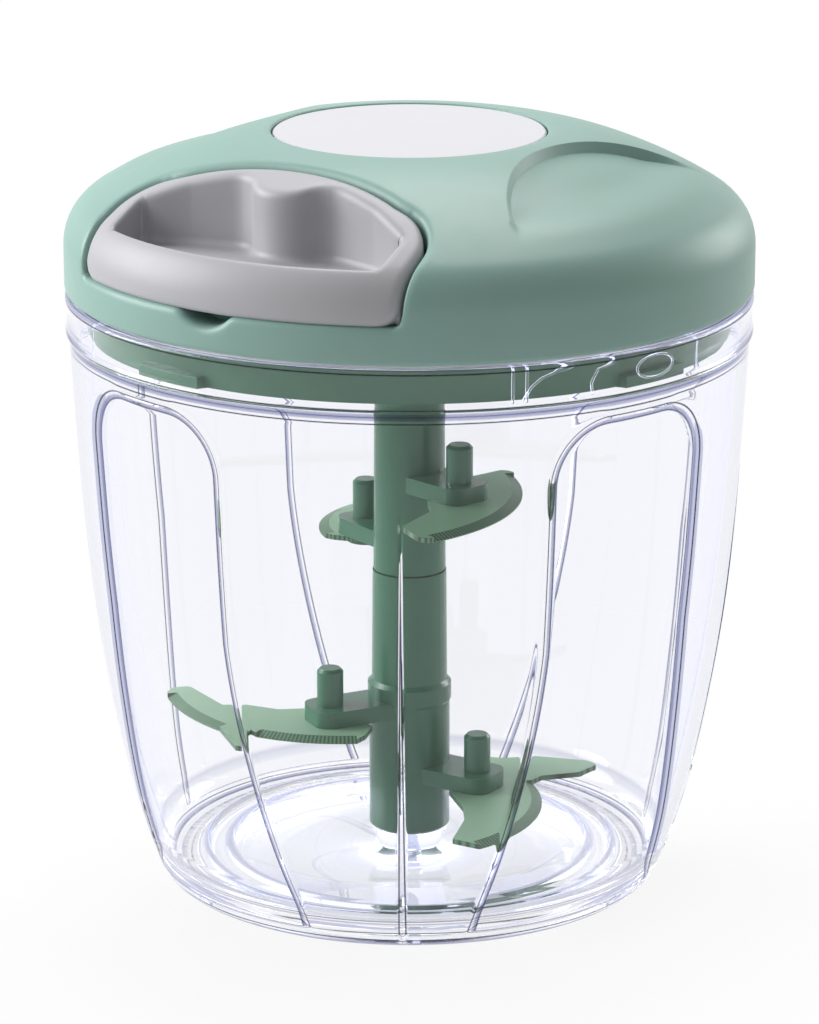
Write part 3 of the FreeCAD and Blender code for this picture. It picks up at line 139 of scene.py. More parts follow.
# Studio: a pale floor, soft lamps and an even pale surround.
studio = {
    "surround": 0.28,          # light of the surround on the object
    "floorSize": 1.2,
    "floorTone": 0.85,
    "floorRoughness": 0.95,
    "floorGlow": (0.84, 1.0),  # share of plain white in the floor that is seen, near the object and far off
    "glowReach": (0.05, 0.17),
    "glossShare": 0.75,        # how white the surround is in reflections
    "lamps": (                 # name, power, size and place
        ("key", 16.0, 0.9, (-0.98, -0.50, 0.60)),
        ("rim", 4.2, 0.6, (0.35, 1.12, 0.42)),
        ("top", 9.0, 0.8, (-0.25, 0.50, 1.15)),
    ),
    "aim": (0.0, 0.0, 0.08),
}


def seenDirectly(tree, glossShare):
    # 1 for rays that the camera or clear plastic sends, less for gloss, 0 for light that falls on the object
    path = tree.nodes.new("ShaderNodeLightPath").outputs
    seen = paired(tree, "MAXIMUM", path["Is Camera Ray"], path["Is Transmission Ray"])
    return paired(tree, "MAXIMUM", seen, paired(tree, "MULTIPLY", path["Is Glossy Ray"], glossShare))


def makeSurround(settings):
    world = bpy.data.worlds.new("surround")
    world.use_nodes = True
    bpy.context.scene.world = world
    tree = world.node_tree
    seen = seenDirectly(tree, settings["glossShare"])
    inputs = {"Factor": seen, "A": settings["surround"], "B": 1.0}
    strength = added(tree, "ShaderNodeMix", inputs, data_type="FLOAT")
    feed(tree, tree.nodes["Background"], {
        "Color": (1.0, 1.0, 1.0, 1.0),
        "Strength": strength.outputs["Result"],
    })


def makeLamp(name, power, size, place, aim):
    data = bpy.data.lights.new(name, "AREA")
    data.energy = power
    data.shape = "DISK"
    data.size = size
    lamp = bpy.data.objects.new(name, data)
    lamp.location = place
    lamp.rotation_euler = (Vector(aim) - Vector(place)).to_track_quat("-Z", "Y").to_euler()
    bpy.context.scene.collection.objects.link(lamp)


def makeFloor(settings):
    bm = bmesh.new()
    bmesh.ops.create_grid(bm, x_segments=1, y_segments=1, size=settings["floorSize"] / 2)
    mesh = bpy.data.meshes.new("floor")
    bm.to_mesh(mesh)
    bm.free()
    floor = bpy.data.objects.new("floor", mesh)
    bpy.context.scene.collection.objects.link(floor)
    material, tree, shader = newMaterial("paleFloor")
    feed(tree, shader, {
        "Base Color": opaque((settings["floorTone"],) * 3),
        "Roughness": settings["floorRoughness"],
        "Specular IOR Level": 0.0,
    })
    away = added(tree, "ShaderNodeVectorMath", {0: objectPlace(tree)}, operation="LENGTH").outputs["Value"]
    glow = ranged(tree, away, *settings["floorGlow"], *settings["glowReach"], "SMOOTHSTEP")
    share = paired(tree, "MULTIPLY", seenDirectly(tree, settings["glossShare"]), glow)
    white = tree.nodes.new("ShaderNodeEmission").outputs["Emission"]
    showEither(tree, share, shader.outputs["BSDF"], white)
    mesh.materials.append(material)


makeSurround(studio)
for lampName, power, size, place in studio["lamps"]:
    makeLamp(lampName, power, size, place, studio["aim"])
makeFloor(studio)
bpy.context.scene.view_settings.view_transform = "Standard"
print("studio lit")


def linear(color):
    # A colour as it looks, 0 to 255, made linear
    return tuple(c / 3294.6 if c <= 10.3 else ((c / 255.0 + 0.055) / 1.055) ** 2.4 for c in color)


# Moulded plastics: colour as it looks, roughness, the grain's size and height, the tone's drift and the
# width of the softened edges. Lengths are in millimetres.
plasticFinishes = {
    "sageShell": ((134, 169, 159), 0.42, 0.35, 0.012, 0.04, 0.3),
    "greyHandle": ((174, 174, 178), 0.44, 0.40, 0.008, 0.04, 0.3),
    "silverDisc": ((208, 208, 213), 0.40, 0.30, 0.006, 0.02, 0.15),
    "greenBase": ((80, 124, 100), 0.30, 0.90, 0.003, 0.05, 0.25),
    "greenShaft": ((56, 112, 84), 0.24, 1.60, 0.003, 0.06, 0.0),
    "nylonReel": ((226, 225, 218), 0.45, 0.60, 0.008, 0.04, 0.25),
    "acetalBush": ((236, 235, 230), 0.35, 0.60, 0.006, 0.03, 0.2),
    "softSeal": ((196, 203, 207), 0.55, 0.50, 0.010, 0.04, 0.2),
}
plasticClouds = {
    "tone": 18.0,
    "gloss": 4.0,
    "glossDrift": 0.04,
    "bend": 1.49,        # how far the plastic turns light
    "edgeSamples": 4,
}


def noise(tree, place, size, detail=2.0):
    inputs = {"Vector": place, "Scale": 1.0 / (size * mm), "Detail": detail}
    return added(tree, "ShaderNodeTexNoise", inputs).outputs["Fac"]


def varied(tree, value, middle, spread):
    return ranged(tree, value, middle - spread, middle + spread)


def toned(tree, color, value, drift):
    # The colour, a little darker and lighter as the value goes from 0 to 1
    dark = opaque(c * (1 - drift) for c in linear(color))
    pale = opaque(min(c * (1 + drift), 1.0) for c in linear(color))
    return mixedColor(tree, value, dark, pale)


def bumped(tree, shader, value, height, under=None):
    # Relief of a height in millimetres, on top of the normal under it
    bump = added(tree, "ShaderNodeBump", {"Height": value, "Distance": height * mm, "Strength": 1.0})
    if under is not None:
        feed(tree, bump, {"Normal": under})
    feed(tree, shader, {"Normal": bump.outputs["Normal"]})


def grained(tree, shader, place, size, height, edge=0.0):
    # A fine moulded grain, over edges that catch the light
    soft = None
    if edge:
        samples = plasticClouds["edgeSamples"]
        soft = added(tree, "ShaderNodeBevel", {"Radius": edge * mm}, samples=samples).outputs["Normal"]
    bumped(tree, shader, noise(tree, place, size, 1.0), height, soft)


def mouldedPlastic(name, color, roughness, grain, height, drift, edge):
    material, tree, shader = newMaterial(name)
    place = objectPlace(tree)
    gloss = noise(tree, place, plasticClouds["gloss"])
    feed(tree, shader, {
        "Base Color": toned(tree, color, noise(tree, place, plasticClouds["tone"]), drift),
        "Roughness": varied(tree, gloss, roughness, plasticClouds["glossDrift"]),
        "IOR": plasticClouds["bend"],
    })
    grained(tree, shader, place, grain, height, edge)
    return material


# Steels: colour as it looks, roughness and the gap of the turning marks in millimetres.
steelFinishes = {
    "turnedSteel": ((176, 178, 182), 0.28, 0.5),
    "springStrip": ((112, 118, 130), 0.34, 0.8),
}
steelMarks = {
    "cloud": 3.0,
    "drift": 0.06,
    "height": 0.004,
}
bandLength = 0.31   # of a Wave texture at a scale of 1


def waves(tree, place, direction, gap, distortion=0.0):
    inputs = {"Vector": place, "Scale": bandLength / (gap * mm), "Distortion": distortion}
    return added(tree, "ShaderNodeTexWave", inputs, bands_direction=direction).outputs["Fac"]


def turnedSteel(name, color, roughness, gap):
    material, tree, shader = newMaterial(name)
    place = objectPlace(tree)
    cloud = noise(tree, place, steelMarks["cloud"])
    feed(tree, shader, {
        "Metallic": 1.0,
        "Base Color": toned(tree, color, cloud, steelMarks["drift"]),
        "Roughness": varied(tree, cloud, roughness, steelMarks["drift"]),
    })
    bumped(tree, shader, waves(tree, place, "Z", gap), steelMarks["height"])
    return material


clearFinish = {
    "face": (0.945, 0.950, 0.972),
    "edge": (0.60, 0.61, 0.74),     # lavender grey where the wall is seen along its length: the plastic's tint over the longer way through, and painted shade at the edges
    "edgeBlend": 0.35,
    "edgeFrom": 0.34,
    "roughness": 0.006,
    "cloud": 9.0,
    "paintedGlow": (0.28, 0.29, 0.37),  # painted glow: the lavender that the wall gives off where light runs on inside it
    "paintedGlowFrom": 4.5,             # the painted glow starts after how many faces
    "passing": (0.975, 0.975, 0.985),
    "bend": 1.34,                   # how far light is turned on its way through
    # Painted shade lines: the dimming seen through the wall beside a moulded edge, which stands in for the
    # light that the edge bends away, by the distance from it in millimetres. The last three are for soft
    # lines.
    "lines": ((-1.42, (255, 255, 255)), (-1.22, (84, 87, 124)), (-1.10, (84, 87, 124)),
              (-0.96, (166, 169, 198)), (-0.50, (198, 200, 219)), (-0.25, (255, 255, 255)),
              (0.06, (255, 255, 255)), (0.18, (66, 68, 104)), (0.34, (66, 68, 104)),
              (0.52, (255, 255, 255)), (1.60, (255, 255, 255)), (2.60, (198, 201, 220)),
              (3.60, (255, 255, 255))),
}
clearOfPaintedShade = 1.2   # a distance at which no painted shade line shows, and the distance of a soft line's middle from it
softPaintedShade = 1.4


def paintedEdgeShade(tree, lines):
    # Painted shade lines beside moulded edges. The clear plastic dims at each face by the root of its
    # colour, hence the square
    distance = added(tree, "ShaderNodeAttribute", {}, attribute_name="moulding").outputs["Fac"]
    low, high = lines[0][0], lines[-1][0]
    ramp = added(tree, "ShaderNodeValToRGB", {"Fac": ranged(tree, distance, 0.0, 1.0, low, high)})
    stops = ramp.color_ramp.elements
    stops.remove(stops[1])
    for number, (away, color) in enumerate(lines):
        place = (away - low) / (high - low)
        stop = stops.new(place) if number else stops[0]
        stop.position = place
        stop.color = opaque(c * c for c in linear(color))
    return ramp.outputs["Color"]


def clearPlastic(name, finish):
    material, tree, shader = newMaterial(name)
    # Darker lavender where the wall is seen edge-on: partly the tint of the longer way through, partly
    # painted edge shade
    grazing = added(tree, "ShaderNodeLayerWeight", {"Blend": finish["edgeBlend"]}).outputs["Facing"]
    along = ranged(tree, grazing, 0.0, 1.0, finish["edgeFrom"], 1.0, "SMOOTHSTEP")
    tint = mixedColor(tree, along, opaque(finish["face"]), opaque(finish["edge"]))
    rough = finish["roughness"]
    path = tree.nodes.new("ShaderNodeLightPath").outputs
    # Past many faces the wall glows a dull lavender, painted light in place of the light that is lost inside
    # it
    feed(tree, shader, {
        "Transmission Weight": 1.0,
        "IOR": finish["bend"],
        # The base colour is multiplied by the painted shade lines beside the moulded edges
        "Base Color": mixedColor(tree, 1.0, tint, paintedEdgeShade(tree, finish["lines"]), "MULTIPLY"),
        "Roughness": varied(tree, noise(tree, objectPlace(tree), finish["cloud"]), rough, rough / 2),
        "Emission Color": opaque(finish["paintedGlow"]),
        "Emission Strength": paired(tree, "GREATER_THAN", path["Ray Depth"], finish["paintedGlowFrom"]),
    })
    # Lamp light passes the clear wall, so it throws hardly any shadow
    passing = added(tree, "ShaderNodeBsdfTransparent", {"Color": opaque(finish["passing"])})
    unseen = paired(tree, "MAXIMUM", path["Is Shadow Ray"], path["Is Diffuse Ray"])
    showEither(tree, unseen, shader.outputs["BSDF"], passing.outputs["BSDF"])
    return material


# Blades: satin tops painted paler where they face up, a painted sheen, and ground edges with fine lines of
# painted groove shade across them. Lengths are in millimetres.
bladeFinish = {
    # The top is paler than the ground edge by a painted sheen
    "top": (146, 184, 153),
    "ground": (112, 160, 122),
    # The groove colour is painted shade in the serration grooves
    "grooveShade": (26, 54, 34),
    "roughness": 0.42,
    "drift": 0.05,
    "lineGap": 0.78,
    "sheenTopFrom": 0.985,            # a face that looks up this far is the blade's top, which gets the painted sheen
    "clouds": (9.0, 2.0),        # of tone and of gloss
    "grain": (0.5, 0.008, 0.12),   # size, height and softened edges
}
# Where the ground edge of each blade is centred, in millimetres, and its bend
bladeArcs = {
    "blade_upper_right": (-14.6, -13.0, 41.0),
    "blade_upper_left": (-6.7, 17.2, 22.0),
    "blade_lower_left": (-19.2, 4.8, 33.0),
    "blade_lower_right": (2.8, -16.0, 32.0),
}


def groundBlade(name, centre, finish):
    material, tree, shader = newMaterial(name)
    place = objectPlace(tree)
    x, y, bend = centre
    shift = added(tree, "ShaderNodeMapping", {"Vector": place, "Location": (-x * mm, -y * mm, 0.0)})
    parts = added(tree, "ShaderNodeSeparateXYZ", {"Vector": shift.outputs["Vector"]}).outputs
    angle = paired(tree, "ARCTAN2", parts["Y"], parts["X"])
    wave = paired(tree, "PINGPONG", paired(tree, "MULTIPLY", angle, bend / finish["lineGap"]), 0.5)
    # Dark lines across the ground edge: painted shade in its grooves
    grooveShade, plain = (opaque(linear(finish[key])) for key in ("grooveShade", "ground"))
    ground = mixedColor(tree, ranged(tree, wave, 0.0, 2.0), grooveShade, plain)
    facing = tree.nodes.new("ShaderNodeNewGeometry").outputs["True Normal"]
    up = added(tree, "ShaderNodeSeparateXYZ", {"Vector": facing}).outputs["Z"]
    toneCloud, glossCloud = (noise(tree, place, size) for size in finish["clouds"])
    top = toned(tree, finish["top"], toneCloud, finish["drift"])
    feed(tree, shader, {
        # Faces that look up take the paler top colour, a painted sheen
        "Base Color": mixedColor(tree, paired(tree, "GREATER_THAN", up, finish["sheenTopFrom"]), ground, top),
        "Roughness": varied(tree, glossCloud, finish["roughness"], finish["drift"]),
    })
    grained(tree, shader, place, *finish["grain"])
    return material


cordFinish = {
    "color": (228, 227, 220),
    "roughness": 0.8,
    "strand": 0.45,
    "distortion": 1.2,
    "drift": 0.12,
    "relief": 0.12,
}


def braidedCord(name, finish):
    material, tree, shader = newMaterial(name)
    place = objectPlace(tree)
    strands = [waves(tree, place, way, finish["strand"], finish["distortion"]) for way in ("X", "Y")]
    weave = paired(tree, "MAXIMUM", *strands)
    feed(tree, shader, {
        "Base Color": toned(tree, finish["color"], weave, finish["drift"]),
        "Roughness": finish["roughness"],
    })
    bumped(tree, shader, weave, finish["relief"])
    return material


made = {name: mouldedPlastic(name, *finish) for name, finish in plasticFinishes.items()}
made.update({name: turnedSteel(name, *finish) for name, finish in steelFinishes.items()})
made["clearBowl"] = clearPlastic("clearBowl", clearFinish)
made["braidedCord"] = braidedCord("braidedCord", cordFinish)
slotFinish = {
    "lid_green": "sageShell", "handle_grey": "greyHandle", "disc_silver": "silverDisc",
    "base_green": "greenBase", "blade_green": "greenShaft", "blade_edge_green": "greenShaft",
    "seal_silicone": "softSeal", "reel_plastic": "nylonReel", "bush_plastic": "acetalBush",
    "steel": "turnedSteel", "spring_steel": "springStrip", "cord": "braidedCord", "clear_bowl": "clearBowl",
}
for nodeName, node in nodes.items():
    slotName = node.data.materials[0].name.split(".")[0]
    if nodeName in bladeArcs:
        node.data.materials[0] = groundBlade(nodeName + "_ground", bladeArcs[nodeName], bladeFinish)
    else:
        node.data.materials[0] = made[slotFinish[slotName]]
print("finishes made")


def finishPiece(name, bm, material, body, replaced=(), sharp=35.0):
    # Turns a mesh in millimetres into a named piece in metres that rides on a body
    bmesh.ops.scale(bm, vec=(mm, mm, mm), verts=bm.verts)
    mesh = bpy.data.meshes.new(name)
    bm.to_mesh(mesh)
    bm.free()
    mesh.shade_smooth()
    mesh.set_sharp_from_angle(angle=math.radians(sharp))
    mesh.materials.append(material)
    piece = bpy.data.objects.new(name, mesh)
    bpy.context.scene.collection.objects.link(piece)
    if body:
        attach(piece, body)
    if replaced:
        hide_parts(*replaced)
    return piece


def smoothStep(value, low, high):
    share = min(max((value - low) / (high - low), 0.0), 1.0)
    return share * share * (3 - 2 * share)


# Outlines in plan or elevation are closed lists of 2D points, counterclockwise, in millimetres.
def arcTo(start, end, radius, spacing):
    # Points from start towards end on the arc that turns left on the way; a negative radius turns right
    chord = end - start
    half = chord.length / 2
    side = 1.0 if radius > 0 else -1.0
    left = Vector((-chord.y, chord.x)).normalized() * side
    centre = (start + end) / 2 + left * math.sqrt(max(radius * radius - half * half, 0.0))
    swing = 2 * math.asin(min(half / abs(radius), 1.0)) * side
    count = max(2, round(abs(radius * swing) / spacing))
    arm = start - centre
    points = []
    for step in range(count):
        angle = swing * step / count
        turned = Vector((arm.x * math.cos(angle) - arm.y * math.sin(angle),
                         arm.x * math.sin(angle) + arm.y * math.cos(angle)))
        points.append(centre + turned)
    return points


def closedOutline(corners, spacing):
    # Each corner is x, y and, where an arc leaves it, that arc's radius
    points = []
    for number, corner in enumerate(corners):
        start = Vector(corner[:2])
        end = Vector(corners[(number + 1) % len(corners)][:2])
        if len(corner) == 3:
            points += arcTo(start, end, corner[2], spacing)
            continue
        count = max(1, round((end - start).length / spacing))
        points += [start.lerp(end, step / count) for step in range(count)]
    return points


def softened(points, times):
    # Rounds the corners of an outline by averaging each point with its neighbours
    for _ in range(times):
        count = len(points)
        points = [(points[i - 1] + points[i] * 2 + points[(i + 1) % count]) / 4 for i in range(count)]
    return points


def outwardNormals(points):
    normals = []
    for i in range(len(points)):
        along = points[(i + 1) % len(points)] - points[i - 1]
        normals.append(Vector((along.y, -along.x)).normalized())
    return normals


def grown(points, distance):
    return [point + normal * distance for point, normal in zip(points, outwardNormals(points))]


def isInside(points, spot):
    inside = False
    for i in range(len(points)):
        a, b = points[i - 1], points[i]
        if (a.y > spot.y) != (b.y > spot.y):
            if spot.x < a.x + (b.x - a.x) * (spot.y - a.y) / (b.y - a.y):
                inside = not inside
    return inside


def normalNear(points, normals, spot):
    best = min(range(len(points)), key=lambda i: (points[i] - spot).length_squared)
    return normals[best], (points[best] - spot).length


# The lid's dome is one chain of arcs from its side wall to its crown.
lidLow, lidHigh = (corner * 1000.0 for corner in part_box("lid_cover"))
domeShape = {
    "radius": lidHigh.x,
    "bottom": lidLow.z,
    "top": lidHigh.z,
    "sideRise": 8.5,
    "shoulderIn": 5.0,
    "shoulderBend": 10.6,
    "browIn": 22.0,
    "browBend": 90.0,
    "crownRadius": 26.25,   # where the crown meets the disc's seat
    "lowerRim": ((2.2, 1.0), (0.9, 1.0), (0.35, 0.8), (0.1, 0.45)),   # inwards and down from the side wall
}


def domeArcs(inset=0.0):
    # Each arc as its centre, its bend and the radius where the next one takes over
    shape = domeShape
    start = Vector((shape["radius"], shape["bottom"] + shape["sideRise"]))
    normal = Vector((1.0, 0.0))
    arcs = []
    for bend, end in ((shape["shoulderBend"], shape["radius"] - shape["shoulderIn"]),
                      (shape["browBend"], shape["radius"] - shape["browIn"])):
        centre = start - normal * bend
        x = end - centre.x
        finish = Vector((end, centre.y + math.sqrt(bend * bend - x * x)))
        normal = (finish - centre) / bend
        arcs.append((centre, bend - inset, finish.x - normal.x * inset))
        start = finish
    crown = Vector((shape["crownRadius"], shape["top"])) - start
    bend = -crown.length_squared / (2 * crown.dot(normal))
    arcs.append((start - normal * bend, bend - inset, 0.0))
    return arcs


outerArcs = domeArcs()
sideTop = domeShape["bottom"] + domeShape["sideRise"]


def domeAt(radius, arcs):
    # Height of the dome and its normal, as outwards and up, at one distance from the axis
    for centre, bend, end in arcs:
        if radius >= end or end == 0.0:
            out = min(max(radius - centre.x, 0.0), bend)
            up = math.sqrt(bend * bend - out * out)
            return centre.y + up, out / bend, up / bend


def domeNormal(spot, arcs=outerArcs):
    radius = math.hypot(spot.x, spot.y)
    out, up = (1.0, 0.0) if spot.z <= sideTop else domeAt(radius, arcs)[1:]
    return Vector((spot.x / radius * out, spot.y / radius * out, up))


def domeSheet(arcs, inset, low, inner, rings, sectors):
    # The dome's outside as one sheet, from its lower edge to a circle round the crown
    wall = domeShape["radius"] - inset
    profile = [(wall - back, low - down) for back, down in domeShape["lowerRim"]]
    profile += [(wall, low), (wall, (low + sideTop) / 2), (wall, sideTop)]
    centre, bend, end = arcs[0]
    steps = rings["shoulder"]
    last = math.acos((end - centre.x) / bend)
    for step in range(1, steps + 1):
        angle = last * step / steps
        profile.append((centre.x + bend * math.cos(angle), centre.y + bend * math.sin(angle)))
    steps = rings["top"]
    for step in range(1, steps + 1):
        radius = end + (inner - end) * step / steps
        profile.append((radius, domeAt(radius, arcs)[0]))
    return spunSheet(profile, sectors)


def spunSheet(profile, sectors):
    bm = bmesh.new()
    line = [bm.verts.new((x, 0.0, z)) for x, z in profile]
    edges = [bm.edges.new(pair) for pair in zip(line, line[1:])]
    bmesh.ops.spin(bm, geom=line + edges, cent=(0, 0, 0), axis=(0, 0, 1), angle=2 * math.pi,
                   steps=sectors, use_merge=True)
    bmesh.ops.remove_doubles(bm, verts=bm.verts, dist=1e-5)
    bmesh.ops.recalc_face_normals(bm, faces=bm.faces)
    return bm


# How far the bands that score a sheet reach: in height for outlines in plan, and for one in elevation
# from front to back.
bandReach = {
    "plan": (110.0, 150.0),
    "opening": (120.5, 150.0),
    "scoop": (128.0, 150.0),
    "lip": (-80.0, -30.0),
}
weld = 0.004   # vertices closer than this are one


def curtain(bm, points, reach, upright=True):
    # A band that scores the sheet: an outline in plan drawn up, or one in elevation drawn back to front
    def raised(point, level):
        return (point.x, point.y, level) if upright else (point.x, level, point.y)

    low, high = reach
    first = [bm.verts.new(raised(point, low)) for point in points]
    edges = [bm.edges.new(pair) for pair in zip(first, first[1:] + first[:1])]
    made = bmesh.ops.extrude_edge_only(bm, edges=edges)
    lift = Vector((0, 0, high - low)) if upright else Vector((0, high - low, 0))
    moved = [item for item in made["geom"] if isinstance(item, bmesh.types.BMVert)]
    bmesh.ops.translate(bm, verts=moved, vec=lift)


def scored(sheet, bands):
    # Cuts new edges into the sheet where the bands cross it, and drops the bands
    bandMesh = bpy.data.meshes.new("bands")
    for face in bands.faces:
        face.material_index = 1
    bands.to_mesh(bandMesh)
    bands.free()
    known = len(sheet.faces)
    sheet.from_mesh(bandMesh)
    sheet.faces.ensure_lookup_table()
    for number, face in enumerate(sheet.faces):
        face.select_set(number >= known)
    mesh = bpy.data.meshes.new("scoring")
    sheet.to_mesh(mesh)
    sheet.free()
    workpiece = bpy.data.objects.new("scoring", mesh)
    bpy.context.scene.collection.objects.link(workpiece)
    # Only the workpiece goes into edit mode, so that the frame's own nodes stay as they are
    for item in bpy.context.selected_objects:
        item.select_set(False)
    workpiece.select_set(True)
    bpy.context.view_layer.objects.active = workpiece
    bpy.ops.object.mode_set(mode="EDIT")
    bpy.ops.mesh.intersect(mode="SELECT_UNSELECT", separate_mode="NONE", solver="EXACT")
    bpy.ops.object.mode_set(mode="OBJECT")
    bm = bmesh.new()
    bm.from_mesh(mesh)
    bpy.data.objects.remove(workpiece)
    bpy.data.meshes.remove(mesh)
    bpy.data.meshes.remove(bandMesh)
    bmesh.ops.delete(bm, geom=[face for face in bm.faces if face.material_index == 1], context="FACES")
    loose = [edge for edge in bm.edges if not edge.link_faces]
    bmesh.ops.delete(bm, geom=loose, context="EDGES")
    # The cut leaves its vertices in any order, which the merges would follow
    ordered = sorted(bm.verts, key=lambda vert: tuple(round(length, 3) for length in vert.co))
    for rank, vert in enumerate(ordered):
        vert.index = rank
    bm.verts.sort()
    bmesh.ops.remove_doubles(bm, verts=bm.verts, dist=weld)
    return bm


def rimLoops(bm):
    # The open edges of the sheet as ordered loops of vertices
    left = {edge for edge in bm.edges if edge.is_boundary}
    loops = []
    for edge in bm.edges:
        if edge not in left:
            continue
        left.remove(edge)
        loop = [edge.verts[0], edge.verts[1]]
        while True:
            following = [item for item in loop[-1].link_edges if item in left]
            if not following:
                break
            left.remove(following[0])
            loop.append(following[0].other_vert(loop[-1]))
        loops.append(loop[:-1] if loop[-1] == loop[0] else loop)
    return loops


def drawOn(bm, loop, places):
    # Extrudes a closed loop once and sets the new vertices at their places
    edges = []
    for number, vert in enumerate(loop):
        edges.append(bm.edges.get((vert, loop[(number + 1) % len(loop)])))
    made = bmesh.ops.extrude_edge_only(bm, edges=edges)
    fresh = {item for item in made["geom"] if isinstance(item, bmesh.types.BMVert)}
    after = []
    for vert in loop:
        partner = next(edge.other_vert(vert) for edge in vert.link_edges if edge.other_vert(vert) in fresh)
        after.append(partner)
    for vert, place in zip(after, places):
        vert.co = place
    return after


# Bowl: one closed spun shell; its columns are then gathered at the panels' edges and the ribs, the
# panels are sunk and the ribs raised. Heights and radii are in millimetres, turns in degrees.
bowlShape = {
    "outside": ((48.7, 2.2), (51.4, 9.8), (54.3, 19.8), (57.4, 34.7), (60.1, 51.8), (62.1, 71.1),
                (63.4, 90.0), (64.3, 106.5)),
    "rows": ((2.85, 0.65, 15), (12.0, 2.4, 32), (88.8, 0.6, 27)),   # first height, gap and number
    "wall": 2.1,
    "foot": ((0.0, 1.6), (20.0, 1.6), (39.8, 1.6), (40.5, 1.4), (40.9, 0.4), (41.4, 0.0), (45.4, 0.0),
             (46.4, 0.15), (47.3, 0.6), (48.1, 1.3), (48.7, 2.2)),
    "collar": ((64.3, 106.5), (64.45, 107.1), (64.68, 107.6), (64.95, 107.9), (64.97, 108.2), (64.75, 108.6),
               (64.7, 109.2), (64.7, 111.5), (64.7, 113.3), (64.93, 113.8), (64.95, 114.6), (64.7, 115.0),
               (64.3, 115.1), (62.6, 115.1), (62.15, 114.9), (62.0, 114.4), (62.0, 111.5), (62.0, 108.6),
               (62.15, 107.6), (62.4, 106.6)),
    "cornerTop": 9.5,            # where the inside bends into the floor
    "cornerBend": 4.6,
    "cornerDraw": 0.4,
    "floorTop": 4.2,
    "floor": ((42.0, 4.2), (40.6, 4.2), (40.2, 4.6), (39.6, 4.8), (38.9, 4.6), (38.5, 4.2), (36.3, 4.2),
              (35.9, 4.6), (35.0, 4.8), (34.1, 4.6), (33.7, 4.2), (20.0, 4.2), (7.0, 4.2), (6.45, 4.6),
              (6.4, 7.3), (6.1, 7.6), (2.05, 7.6), (2.0, 7.5), (2.0, 2.7), (0.0, 2.6)),
    "skinDepth": 1.4,            # what lies this close under the outside belongs to it
    "skinHeights": (0.3, 106.4),
    "panels": 4,
    "panelTurn": -15.3,
    "panelHalf": 16.6,           # half a panel's angle, and how it grows below a height
    "panelSpread": (60.0, 0.06, 0.0023),
    "panelBand": 2.0,            # half the angle that the columns on a panel's edge take up
    "panelTop": 103.5,
    "panelCorner": 12.0,
    "panelDepth": 1.0,
    "panelStep": 1.3,            # half the width of the slope round a panel
    "panelFade": (2.0, 8.0),
    "ribShift": 3.2,             # how far the ribs lie beside the middle between two panels
    "ribBand": 1.5,
    "ribTop": 89.0,
    "ribRelief": 0.9,
    "ribHalf": 0.95,
    "ribTip": 0.12,              # share of a rib's width that is left at its top
    "ribTaper": 0.7,
    "ribFade": (0.3, 3.0),
    "ribShadeLine": (0.6, 0.55),      # how far beside a rib its painted shade line is drawn, and the line's place there
    "columns": (20, 12, 11, 5),   # in half a panel, on its edge, beside it and on half a rib
    # Moulded edges that run right round, with painted shade lines beside them: from and to which radius and
    # height, the edge's height, how the distance from it grows upwards and where it starts. The last one is
    # soft.
    "rings": (
        (63.0, 70.0, 106.4, 109.0, 107.6, 1.0, 0.0),
        (63.0, 70.0, 113.2, 120.0, 114.6, -1.0, 0.0),
        (45.0, 70.0, -1.0, 2.9, 1.6, 1.0, 0.0),
        (0.0, 41.0, 4.1, 5.0, 4.2, softPaintedShade / 0.6, clearOfPaintedShade),
    ),
    "cornerShadeLine": (41.0, 8.0, 2.0),   # a soft painted shade line at the inside corner: beyond which radius, at what height and how high
}


def splineAt(points, height):
    # Radius at one height on a smooth line through the points
    last = len(points) - 1
    i = next((k for k in range(last) if height <= points[k + 1][1]), last - 1)
    a, b = points[i], points[i + 1]
    before = points[max(i - 1, 0)]
    after = points[min(i + 2, last)]
    share = (height - a[1]) / (b[1] - a[1])
    startSlope = (b[0] - before[0]) / (b[1] - before[1]) * (b[1] - a[1])
    endSlope = (after[0] - a[0]) / (after[1] - a[1]) * (b[1] - a[1])
    s2, s3 = share ** 2, share ** 3
    return (a[0] * (2 * s3 - 3 * s2 + 1) + startSlope * (s3 - 2 * s2 + share)
            + b[0] * (3 * s2 - 2 * s3) + endSlope * (s3 - s2))


def bowlProfile(shape):
    rows = [start + gap * i for start, gap, number in shape["rows"] for i in range(number)]
    outside = [(splineAt(shape["outside"], height), height) for height in rows]
    inside = [(radius - shape["wall"], z) for radius, z in reversed(outside) if z > shape["cornerTop"]]
    across, rise = inside[-1]
    level = shape["floorTop"]
    corner = []
    for angle in range(15, 91, 15):
        turn = math.radians(angle)
        draw = shape["cornerBend"] * (1 - math.cos(turn)) + shape["cornerDraw"] * angle / 90
        corner.append((across - draw, level + (rise - level) * (1 - math.sin(turn))))
    return [*shape["foot"], *outside, *shape["collar"], *inside, *corner, *shape["floor"]]


def panelHalf(shape, height):
    start, slope, bend = shape["panelSpread"]
    below = max(start - height, 0.0)
    return shape["panelHalf"] + slope * below + bend * below * below


def columnTurn(shape, column, height):
    # Degrees from a panel's middle for one of the columns between that middle and the rib
    edge = panelHalf(shape, height)
    band = shape["panelBand"]
    rib = 180.0 / shape["panels"]
    stops = (0.0, edge - band, edge + band, rib - shape["ribBand"], rib)
    for number, count in enumerate(shape["columns"]):
        if column <= count:
            break
        column -= count
    return stops[number] + (stops[number + 1] - stops[number]) * column / count


def panelEdge(shape, away, height, outside):
    # Distance from a panel's outline, below 0 inside the panel
    corner = shape["panelCorner"]
    across = math.radians(away - panelHalf(shape, height)) * outside + corner
    rise = height - (shape["panelTop"] - corner)
    reach = math.hypot(across, rise) if across > 0 and rise > 0 else max(across, rise)
    return reach - corner


